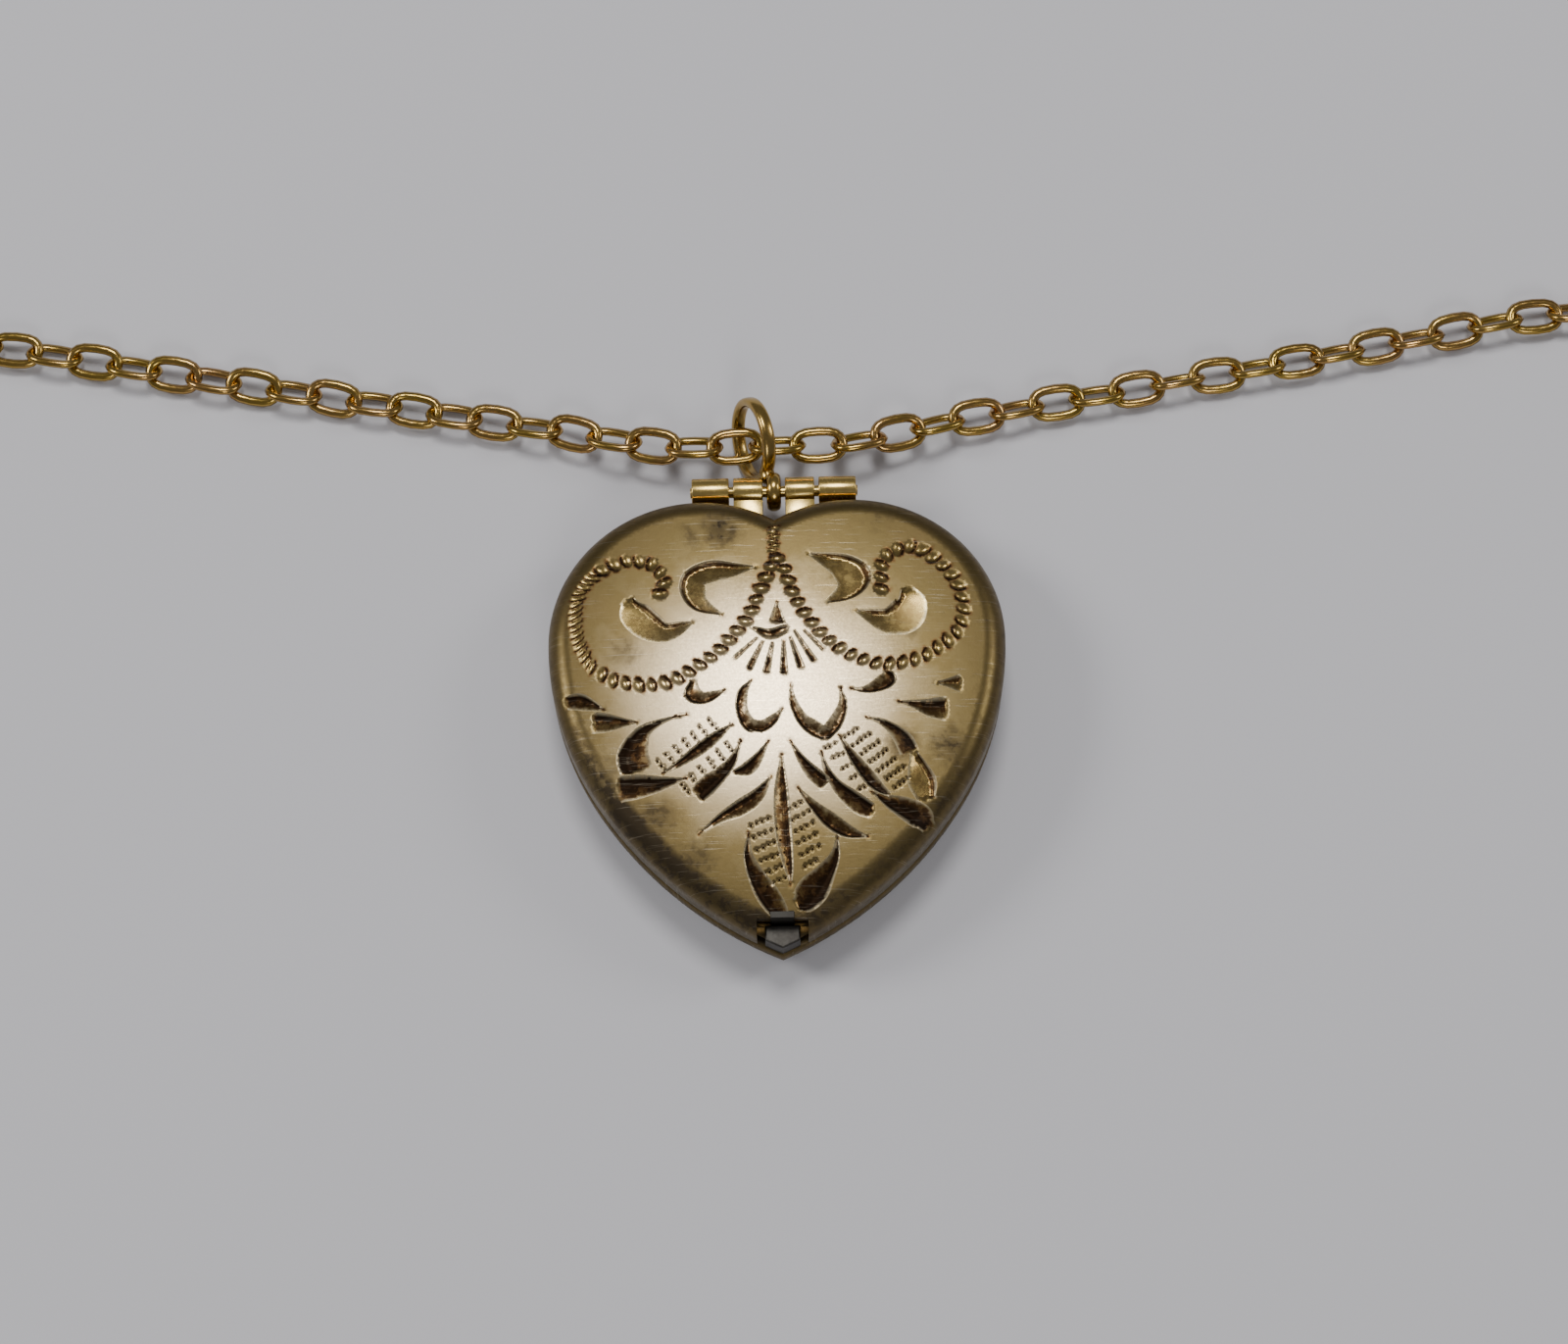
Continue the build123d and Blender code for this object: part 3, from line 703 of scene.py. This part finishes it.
def cover(name, engraved):
    """Pressed cover: face, shoulder, wall, flat rim and the hollow inside."""
    turns = [math.radians(a) for a in (15, 30, 45, 60, 75, 90)]
    insets = [ROLL * (1 - math.cos(a)) for a in turns]
    rings = [outline(i) for i in insets]
    inner_edge = ROLL + 0.06
    if engraved:
        details = engraving_points()
        details = details[inset_of(details[:, 0], details[:, 1]) > insets[0] + 0.05]
        details = thin_out(details, rings[0][:1], 0.022)
        between = [thin_out(ring, details, 0.05) for ring in rings[1:]]
        loose = thin_out(grid(0.12, inner_edge), np.vstack([details] + between), 0.075)
        inner = np.vstack([details, loose])
    else:
        between = rings[1:]
        inner = thin_out(grid(0.45, inner_edge), np.vstack(between), 0.2)
    flat, faces = filled(rings[0], between, inner)
    top = face_height(flat[:, 0], flat[:, 1])
    if engraved:
        top = top - engrave(flat[:, 0], flat[:, 1])[0]
    points = [np.column_stack([flat, top])]
    start = len(flat)
    size = len(rings[0])
    quads = []

    def band(low, high):
        for k in range(size):
            n = (k + 1) % size
            quads.append((low + k, low + n, high + n, high + k))

    loops = []
    rim = outline(0.0)
    crown = face_height(rim[:, 0], rim[:, 1])
    mid = outline(ROLL * (1 - math.cos(math.radians(7))))
    loops.append(np.column_stack([mid, face_height(mid[:, 0], mid[:, 1])]))
    loops.append(np.column_stack([rim, crown]))
    loops.append(np.column_stack([rim, np.full(size, PARTING)]))
    inside = outline(SHEET)
    loops.append(np.column_stack([inside, np.full(size, PARTING)]))
    hollow_roll = ROLL - SHEET
    hollow = [outline(SHEET + hollow_roll * (1 - math.cos(a))) for a in turns[1::2]]
    loops.append(np.column_stack([inside, face_height(inside[:, 0], inside[:, 1], SHEET)]))
    low = 0
    for loop in loops:
        band(low, start)
        low = start
        points.append(loop)
        start += size
    inner_faces_base = start
    sparse = thin_out(grid(0.7, inner_edge), np.vstack(hollow), 0.3)
    ceiling, ceiling_faces = filled(inside, hollow, sparse)
    points.append(np.column_stack([ceiling, face_height(ceiling[:, 0], ceiling[:, 1], SHEET)]))
    faces = faces + quads + [tuple(i + inner_faces_base for i in f) for f in ceiling_faces]
    for k in range(size):
        n = (k + 1) % size
        faces.append((low + k, low + n, inner_faces_base + n, inner_faces_base + k))
    everything = np.vstack(points)
    if not engraved:
        everything[:, 2] = np.maximum(2 * PARTING - everything[:, 2], 0.0)
        deep = everything[inner_faces_base:]
        deep[:, 2] = np.maximum(deep[:, 2], SHEET)
    obj = new_object(name, everything.tolist(), faces)
    mesh = bmesh.new()
    mesh.from_mesh(obj.data)
    bmesh.ops.remove_doubles(mesh, verts=mesh.verts, dist=1e-8)
    mesh.to_mesh(obj.data)
    mesh.free()
    outward(obj)
    return obj


def paint(obj, name, values):
    """Store one value for each point of a mesh."""
    attribute = obj.data.attributes.get(name) or obj.data.attributes.new(name, "FLOAT", "POINT")
    attribute.data.foreach_set("value", np.asarray(values, np.float32))


def places(obj):
    """Points of a mesh in millimetres."""
    co = np.zeros(len(obj.data.vertices) * 3)
    obj.data.vertices.foreach_get("co", co)
    return co.reshape(-1, 3) / MM


def tarnish_and_edge_shade_of(p):
    """Tarnish spots and painted shade along the rolled edge, darker towards the bottom and weaker on the
    right, by place.
    """
    x, y, _ = p.T
    edge = inset_of(x, y)
    low = np.clip((1.0 - y) / 7, 0, 1) * np.where(x > 0, 0.60, 1.0)
    # Painted shade along the rolled edge, heavier towards the bottom and on the left.
    edge_shade = np.exp(-(((edge - 0.5) / 0.52) ** 2)) * low
    edge_shade = np.maximum(edge_shade, 0.35 * np.exp(-((edge / 0.9) ** 2)))
    # Tarnish spots.
    spots = np.zeros(len(x))
    for sx, sy, size, amount in (
        (-2.4, 7.0, 0.9, 0.75), (-3.6, 6.8, 0.8, 0.45), (5.3, -3.2, 0.7, 0.6), (7.4, -3.3, 1.0, 0.65),
        (-6.6, 1.2, 0.9, 0.4), (-5.4, -6.4, 1.1, 0.5), (-3.6, -8.2, 1.0, 0.5), (8.6, -0.6, 1.2, 0.20),
        (2.9, 4.9, 0.8, 0.45), (5.6, 2.6, 1.0, 0.5), (-7.5, -4.2, 1.0, 0.4), (4.6, 7.4, 0.9, 0.35),
    ):
        spots = np.maximum(spots, amount * np.exp(-(((x - sx) ** 2 + (y - sy) ** 2) / size**2)))
    return np.maximum(edge_shade, spots)


front = cover("engraved_cover", True)
tool = box_tool((-NOTCH_HALF_WIDTH, TIP_Y - 1, PARTING - 1), (NOTCH_HALF_WIDTH, NOTCH_Y, PARTING + 4))
cut_away(front, tool)
tool = box_tool((-0.5, NOTCH_Y - 0.1, PARTING - 1), (0.5, NOTCH_Y + 0.25, PARTING + 4))
cut_away(front, tool)
front.data.shade_smooth()
p = places(front)
depth, dark, edge_glint, facet_highlight = engrave(p[:, 0], p[:, 1])
top = (p[:, 2] > face_height(p[:, 0], p[:, 1]) - 0.3) & (inset_of(p[:, 0], p[:, 1]) > 0.02)
paint(front, "polish_and_shade", dark * top)
paint(front, "edge_glint", edge_glint * top)
paint(front, "facet_highlight", facet_highlight * top)
# Tarnish spots and painted shade along the rolled edge.
paint(front, "tarnish_and_edge_shade", tarnish_and_edge_shade_of(p))
# Painted highlight: the crown turns pale where the overhead light reflects.
paint(front, "painted_highlight", np.exp(-((((p[:, 0] + 0.8) / 4.8) ** 2 + ((p[:, 1] + 1.1) / 4.4) ** 2) ** 1.2)))
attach(front, "front_half")
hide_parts("front_cover")

back = cover("plain_cover", False)
p = places(back)
for name in ("polish_and_shade", "edge_glint", "facet_highlight", "painted_highlight"):
    paint(back, name, np.zeros(len(p)))
# The back cover is darker throughout below the parting, with the same tarnish spots and painted edge shade.
paint(back, "tarnish_and_edge_shade", np.maximum(tarnish_and_edge_shade_of(p), 0.35 * (p[:, 2] < PARTING)))
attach(back, "back_half")
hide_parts("back_cover")


# ---- Hinge and bail
CREASE = math.radians(35)
RING_TURN = math.radians(18)


def wall_y(x):
    """Where the lobe's wall stands, for a distance across the heart."""
    return LOBE_Y + math.sqrt(LOBE_RADIUS**2 - (abs(x) - LOBE_X) ** 2)


def rod(radius, start, end, bevel, sides=40):
    """Round rod between two points, its ends rounded off."""
    start, end = Vector(start), Vector(end)
    bpy.ops.mesh.primitive_cylinder_add(
        vertices=sides, radius=radius * MM, depth=(end - start).length * MM, location=(start + end) / 2 * MM
    )
    made = bpy.context.object
    made.rotation_mode = "QUATERNION"
    made.rotation_quaternion = (end - start).to_track_quat("Z", "Y")
    settle(made)
    apply_modifier(made, "BEVEL", width=bevel * MM, segments=3, limit_method="ANGLE", angle_limit=0.9)
    return made


def plate(x0, x1, low, high, far_low, far_high):
    """Plate from a barrel back to the heart's wall: low and high at the barrel, far ones at the wall."""
    bpy.ops.mesh.primitive_cube_add(size=2)
    made = bpy.context.object
    for v in made.data.vertices:
        x = x1 if v.co.x > 0 else x0
        at_barrel = v.co.y > 0
        y = HINGE_Y - 0.05 if at_barrel else wall_y(x) - 0.15
        if at_barrel:
            z = high if v.co.z > 0 else low
        else:
            z = far_high if v.co.z > 0 else far_low
        v.co = (x * MM, y * MM, z * MM)
    apply_modifier(made, "BEVEL", width=0.035 * MM, segments=2)
    outward(made)
    return made


def joined(name, pieces):
    """One object from several."""
    bpy.ops.object.select_all(action="DESELECT")
    for piece in pieces:
        piece.select_set(True)
    bpy.context.view_layer.objects.active = pieces[0]
    bpy.ops.object.join()
    made = bpy.context.object
    made.name = name
    for polygon in made.data.polygons:
        polygon.use_smooth = True
    bpy.ops.object.select_all(action="DESELECT")
    made.select_set(True)
    bpy.context.view_layer.objects.active = made
    bpy.ops.object.shade_smooth_by_angle(angle=CREASE)
    return made


def barrels(name, span, body, node_name, bore, upper):
    """Two rolled barrels with their plates, and the seam where the sheet closes round the pin."""
    pieces = []
    for side in (-1, 1):
        x0, x1 = side * span[0], side * span[1]
        barrel = rod(KNUCKLE_RADIUS, (x0, HINGE_Y, PARTING), (x1, HINGE_Y, PARTING), 0.05)
        hole = rod(bore, (x0 - side, HINGE_Y, PARTING), (x1 + side, HINGE_Y, PARTING), 0.001)
        cut_away(barrel, hole)
        turn = math.radians(62 if upper else 128)
        y = HINGE_Y + KNUCKLE_RADIUS * math.cos(turn)
        z = PARTING + KNUCKLE_RADIUS * math.sin(turn)
        left, right = min(x0, x1), max(x0, x1)
        seam = box_tool((left - 0.1, y - 0.025, z - 0.10), (right + 0.1, y + 0.025, z + 0.10))
        cut_away(barrel, seam)
        pieces.append(barrel)
        if upper:
            pieces.append(plate(left, right, PARTING + 0.06, PARTING + 0.34, PARTING + 0.06, PARTING + 0.38))
        else:
            pieces.append(plate(left, right, PARTING - 0.34, PARTING - 0.06, PARTING - 0.62, PARTING - 0.06))
    made = joined(name, pieces)
    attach(made, body)
    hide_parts(node_name)
    return made


cover_barrels = barrels("cover_barrels", (0.50, 1.80), "front_half", "front_knuckles", 0.30, True)
back_barrels = barrels("back_barrels", (2.00, 3.65), "back_half", "back_knuckles", 0.25, False)
pin = rod(PIN_RADIUS, (-3.73, HINGE_Y, PARTING), (3.73, HINGE_Y, PARTING), 0.06, 32)
pin = joined("pin", [pin])
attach(pin, "back_half")
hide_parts("hinge_pin")

BAIL_WAY = Vector((0, 1, 0))
BAIL_WAY.rotate(Matrix.Rotation(math.radians(-7.5), 3, "X"))
BAIL_WAY.rotate(Matrix.Rotation(RING_TURN, 3, "Z"))
bail_across = Vector((1, 0, 0))
bail_across.rotate(Matrix.Rotation(RING_TURN, 3, "Z"))
bail_across.rotate(Matrix.Rotation(RING_TURN, 3, BAIL_WAY))
PIN_MIDDLE = Vector((0, HINGE_Y, PARTING))
EYE_RADIUS = 0.87
RING_RADIUS = 1.95


def ring(name, centre, axis, outer, thick, wide, squareness, node_name):
    """Closed ring of flattened wire round an axis."""
    bpy.ops.mesh.primitive_torus_add(
        major_segments=96, minor_segments=24, major_radius=outer - thick / 2, minor_radius=0.1
    )
    made = bpy.context.object
    middle = outer - thick / 2
    for v in made.data.vertices:
        turn = math.atan2(v.co.y, v.co.x)
        off = math.hypot(v.co.x, v.co.y) - middle
        slope = math.atan2(v.co.z, off)
        c, d = math.cos(slope), math.sin(slope)
        reach = 1 / (abs(c) ** squareness + abs(d) ** squareness) ** (1 / squareness)
        radius = middle + thick / 2 * reach * c
        v.co = (radius * math.cos(turn) * MM, radius * math.sin(turn) * MM, wide / 2 * reach * d * MM)
    made.rotation_mode = "QUATERNION"
    made.rotation_quaternion = axis.to_track_quat("Z", "Y")
    made.location = centre * MM
    settle(made)
    made.name = name
    made.data.shade_smooth()
    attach(made, "bail")
    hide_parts(node_name)
    return made


bail_loop = ring(
    "bail_loop", PIN_MIDDLE + BAIL_WAY * (EYE_RADIUS + RING_RADIUS), bail_across, RING_RADIUS,
    0.42, 0.60, 2.9, "bail_ring",
)
bail_foot = ring("bail_foot", PIN_MIDDLE, Vector((1, 0, 0)), EYE_RADIUS, 0.56, 0.64, 2.3, "bail_eye")
solder = rod(
    0.36, PIN_MIDDLE + BAIL_WAY * (EYE_RADIUS - 0.25), PIN_MIDDLE + BAIL_WAY * (EYE_RADIUS + 0.25), 0.10, 28
)
solder = joined("bail_solder", [solder])
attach(solder, "bail")
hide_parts("bail_collar")


# ---- Finishes
def node(tree, kind, **values):
    """Add a node and set its sockets or properties by name."""
    made = tree.nodes.new(kind)
    for key, value in values.items():
        if hasattr(made, key):
            setattr(made, key, value)
        else:
            made.inputs[key.replace("_", " ")].default_value = value
    return made


def wear_group():
    """Shared wear: patches, fine scratches and grain, from object coordinates."""
    group = bpy.data.node_groups.new("wear", "ShaderNodeTree")
    for name in ("Patches", "Scratches", "Grain", "Speckle"):
        group.interface.new_socket(name, in_out="OUTPUT", socket_type="NodeSocketFloat")
    place = group.nodes.new("ShaderNodeTexCoord")
    out = group.nodes.new("NodeGroupOutput")
    for name, scale, detail, low, high in (
        ("Patches", 330.0, 6.0, 0.42, 0.66),
        ("Grain", 9000.0, 3.0, 0.25, 0.75),
        ("Speckle", 2600.0, 5.0, 0.47, 0.60),
    ):
        texture = node(group, "ShaderNodeTexNoise", Scale=scale, Detail=detail, Roughness=0.62)
        spread = node(group, "ShaderNodeMapRange")
        spread.inputs["From Min"].default_value = low
        spread.inputs["From Max"].default_value = high
        group.links.new(place.outputs["Object"], texture.inputs["Vector"])
        group.links.new(texture.outputs["Fac"], spread.inputs["Value"])
        group.links.new(spread.outputs["Result"], out.inputs[name])
    total = None
    for angle, stretch in ((0.5, 26.0), (-0.9, 30.0), (1.9, 22.0)):
        turned = node(group, "ShaderNodeMapping")
        turned.inputs["Rotation"].default_value = (0, 0, angle)
        turned.inputs["Scale"].default_value = (600.0, 600.0 * stretch, 600.0)
        texture = node(group, "ShaderNodeTexNoise", Scale=1.0, Detail=2.0)
        fine = node(group, "ShaderNodeMapRange")
        fine.inputs["From Min"].default_value = 0.66
        fine.inputs["From Max"].default_value = 0.74
        group.links.new(place.outputs["Object"], turned.inputs["Vector"])
        group.links.new(turned.outputs["Vector"], texture.inputs["Vector"])
        group.links.new(texture.outputs["Fac"], fine.inputs["Value"])
        if total is None:
            total = fine.outputs["Result"]
        else:
            both = node(group, "ShaderNodeMath", operation="MAXIMUM")
            group.links.new(total, both.inputs[0])
            group.links.new(fine.outputs["Result"], both.inputs[1])
            total = both.outputs["Value"]
    group.links.new(total, out.inputs["Scratches"])
    return group


WEAR = wear_group()


def mixed(tree, amount, first, second):
    """Colour mix of two colours or sockets by an amount."""
    mix = tree.nodes.new("ShaderNodeMix")
    mix.data_type = "RGBA"
    for socket, value in ((mix.inputs[0], amount), (mix.inputs[6], first), (mix.inputs[7], second)):
        if isinstance(value, bpy.types.NodeSocket):
            tree.links.new(value, socket)
        elif isinstance(value, tuple):
            socket.default_value = (*value, 1)
        else:
            socket.default_value = value
    return mix.outputs[2]


def maths(tree, operation, *values, clamp=False):
    """Arithmetic on numbers or sockets."""
    made = tree.nodes.new("ShaderNodeMath")
    made.operation = operation
    made.use_clamp = clamp
    for socket, value in zip(made.inputs, values):
        if isinstance(value, bpy.types.NodeSocket):
            tree.links.new(value, socket)
        else:
            socket.default_value = value
    return made.outputs[0]


# Colour of the painted highlight on the crown.
PAINTED_HIGHLIGHT_GOLD = (0.88, 0.70, 0.45)
# Colour of the tarnish spots and the painted edge shade.
TARNISH_AND_SHADE = (0.030, 0.020, 0.010)
# Colour of the painted highlight on the lit cut walls and scoop centres.
FACET_HIGHLIGHT_GOLD = (0.74, 0.52, 0.17)
# Colours of the old polish and the painted shade in the cuts.
BROWN_DEPOSIT_AND_SHADE = (0.12, 0.060, 0.022)
BLACK_POLISH_AND_SHADE = (0.020, 0.011, 0.006)
# Colour of the painted glint along the cut edges.
EDGE_GLINT_GOLD = (0.90, 0.78, 0.50)
SCRATCH_GOLD = (0.62, 0.54, 0.40)


def metal(name, colour, warm, dull, rough, patchy=0.5, painted=False, grain=0.10):
    """Worn metal: two tones in patches and fine scratches; where it is painted, tarnish spots and old polish
    in the cuts, with painted shade along the rolled edge and in the cuts, and painted highlights on the
    crown, the cut walls and the cut edges.
    """
    material = bpy.data.materials.new(name)
    material.use_nodes = True
    tree = material.node_tree
    shader = tree.nodes["Principled BSDF"]
    shader.inputs["Metallic"].default_value = 1.0
    wear = tree.nodes.new("ShaderNodeGroup")
    wear.node_tree = WEAR
    base = mixed(tree, maths(tree, "MULTIPLY", wear.outputs["Patches"], patchy), colour, warm)
    base = mixed(tree, maths(tree, "MULTIPLY", wear.outputs["Speckle"], 0.10), base, dull)
    roughness = maths(tree, "MULTIPLY_ADD", wear.outputs["Grain"], 0.10, rough - 0.05)
    if painted:
        sources = {}
        for key in ("polish_and_shade", "edge_glint", "facet_highlight", "tarnish_and_edge_shade", "painted_highlight"):
            sources[key] = tree.nodes.new("ShaderNodeAttribute")
            sources[key].attribute_name = key
        # Painted highlight on the crown, broken up by the wear patches.
        painted_highlight = maths(tree, "MULTIPLY_ADD", wear.outputs["Patches"], -0.12, sources["painted_highlight"].outputs["Fac"])
        base = mixed(tree, maths(tree, "MULTIPLY", painted_highlight, 1.0, clamp=True), base, PAINTED_HIGHLIGHT_GOLD)
        broken = maths(tree, "MULTIPLY_ADD", wear.outputs["Speckle"], 0.35, 0.55)
        broken = maths(tree, "MULTIPLY_ADD", wear.outputs["Patches"], 0.45, broken)
        # Tarnish spots and painted shade along the rolled edge, broken up by speckle and patches.
        tarnish_and_edge_shade = maths(tree, "MULTIPLY", sources["tarnish_and_edge_shade"].outputs["Fac"], broken)
        tarnish_and_edge_shade = maths(tree, "MULTIPLY_ADD", tarnish_and_edge_shade, 1.7, -0.20, clamp=True)
        base = mixed(tree, maths(tree, "MULTIPLY", tarnish_and_edge_shade, 0.92), base, TARNISH_AND_SHADE)
        # Painted highlight on the lit walls of the cuts and the scoop centres.
        facet_highlight = sources["facet_highlight"].outputs["Fac"]
        base = mixed(tree, maths(tree, "MULTIPLY", facet_highlight, 0.5), base, FACET_HIGHLIGHT_GOLD)
        # Old polish in the cuts plus painted shade on their steep walls and scoop rims.
        polish_and_shade = maths(tree, "MULTIPLY_ADD", wear.outputs["Speckle"], -0.25, sources["polish_and_shade"].outputs["Fac"])
        brown = maths(tree, "MULTIPLY", polish_and_shade, 1.9, clamp=True)
        base = mixed(tree, brown, base, BROWN_DEPOSIT_AND_SHADE)
        polish_and_shade = maths(tree, "MULTIPLY_ADD", polish_and_shade, 2.6, -0.85, clamp=True)
        base = mixed(tree, polish_and_shade, base, BLACK_POLISH_AND_SHADE)
        # Painted glint along the cut edges.
        base = mixed(tree, maths(tree, "MULTIPLY", sources["edge_glint"].outputs["Fac"], 0.38), base, EDGE_GLINT_GOLD)
        roughness = maths(tree, "MULTIPLY_ADD", tarnish_and_edge_shade, 0.22, roughness)
        roughness = maths(tree, "MULTIPLY_ADD", facet_highlight, -0.12, roughness)
        roughness = maths(tree, "MULTIPLY_ADD", polish_and_shade, 0.20, roughness)
        metallic = maths(tree, "MULTIPLY_ADD", tarnish_and_edge_shade, -0.25, 1.0, clamp=True)
        tree.links.new(metallic, shader.inputs["Metallic"])
        base = mixed(tree, maths(tree, "MULTIPLY", wear.outputs["Scratches"], 0.16), base, SCRATCH_GOLD)
        roughness = maths(tree, "MULTIPLY_ADD", wear.outputs["Scratches"], -0.08, roughness)
    height = maths(tree, "MULTIPLY_ADD", wear.outputs["Scratches"], -0.8, wear.outputs["Grain"])
    bump = tree.nodes.new("ShaderNodeBump")
    bump.inputs["Strength"].default_value = grain
    bump.inputs["Distance"].default_value = 0.00001
    tree.links.new(height, bump.inputs["Height"])
    tree.links.new(bump.outputs["Normal"], shader.inputs["Normal"])
    tree.links.new(base, shader.inputs["Base Color"])
    tree.links.new(roughness, shader.inputs["Roughness"])
    return material


def plain(name, colour, rough, **more):
    """Finish of one colour, with any further sockets by name."""
    material = bpy.data.materials.new(name)
    material.use_nodes = True
    shader = material.node_tree.nodes["Principled BSDF"]
    shader.inputs["Base Color"].default_value = (*colour, 1)
    shader.inputs["Roughness"].default_value = rough
    for key, value in more.items():
        shader.inputs[key.replace("_", " ")].default_value = value
    return material


worn_gold = metal(
    "worn gold", (0.153, 0.111, 0.043), (0.186, 0.130, 0.055), (0.085, 0.060, 0.026), 0.36, painted=True
)
hinge_gold = metal(
    "hinge gold", (0.66, 0.47, 0.15), (0.54, 0.37, 0.12), (0.26, 0.17, 0.06), 0.24, grain=0.02
)
frame_gold = metal("frame gold", (0.68, 0.52, 0.26), (0.62, 0.47, 0.25), (0.40, 0.30, 0.16), 0.30)
bail_gold = metal("bail gold", (0.46, 0.31, 0.09), (0.36, 0.22, 0.07), (0.13, 0.08, 0.03), 0.22, grain=0.02)
chain_gold = metal(
    "chain gold", (0.41, 0.27, 0.06), (0.44, 0.25, 0.095), (0.18, 0.10, 0.03), 0.22, patchy=0.9, grain=0.03
)
steel = metal(
    "catch silver", (0.085, 0.08, 0.07), (0.05, 0.045, 0.04), (0.03, 0.024, 0.018), 0.50, patchy=0.9
)
card = plain("photo card", (0.62, 0.54, 0.42), 0.75)
clear = plain("window", (0.98, 0.98, 0.96), 0.06, Alpha=0.16)


def dress(obj, material):
    """Give an object one finish."""
    if obj.data.materials:
        for k in range(len(obj.data.materials)):
            obj.data.materials[k] = material
    else:
        obj.data.materials.append(material)


for obj in (front, back):
    dress(obj, worn_gold)
for obj in chain_parts:
    dress(obj, chain_gold)
for obj in (cover_barrels, back_barrels, pin):
    dress(obj, hinge_gold)
for obj in (bail_loop, bail_foot, solder):
    dress(obj, bail_gold)
CAD_FINISH = {
    "back_rim": frame_gold,
    "catch_tongue": steel, "catch_lip": steel,
    "back_photo_frame": frame_gold, "front_photo_frame": frame_gold,
    "back_window": clear, "front_window": clear, "back_photo": card, "front_photo": card,
    "clasp_body": chain_gold,
    "clasp_bolt": chain_gold, "clasp_knob": chain_gold, "clasp_spring": steel, "clasp_ring": chain_gold,
    "end_ring": chain_gold,
}
for name, material in CAD_FINISH.items():
    obj = bpy.data.objects.get(name)
    if obj and obj.data:
        dress(obj, material)


# ---- Studio
def studio():
    """Pale floor, a large soft light overhead and a dim room."""
    bpy.ops.mesh.primitive_plane_add(size=3.0, location=(0, 0, -0.00002))
    floor = bpy.context.object
    floor.name = "floor"
    floor.data.materials.append(plain("pale floor", (0.60, 0.59, 0.61), 0.85))
    for name, place, size, power in (
        ("overhead_light", (0.0, 0.165, 0.42), 0.14, 0.85),
        ("left_light", (-0.38, 0.08, 0.28), 0.16, 0.85),
        ("right_light", (0.40, 0.12, 0.28), 0.16, 0.45),
        ("front_light", (0.05, -0.36, 0.30), 0.16, 0.40),
    ):
        data = bpy.data.lights.new(name, "AREA")
        data.shape = "DISK"
        data.size = size
        data.energy = power
        lamp = bpy.data.objects.new(name, data)
        bpy.context.scene.collection.objects.link(lamp)
        lamp.location = place
        lamp.rotation_mode = "QUATERNION"
        lamp.rotation_quaternion = Vector(place).to_track_quat("Z", "Y")
    world = bpy.data.worlds.new("room")
    bpy.context.scene.world = world
    world.use_nodes = True
    ground = world.node_tree.nodes["Background"]
    ground.inputs["Color"].default_value = (0.92, 0.93, 1.0, 1)
    ground.inputs["Strength"].default_value = 0.20


studio()
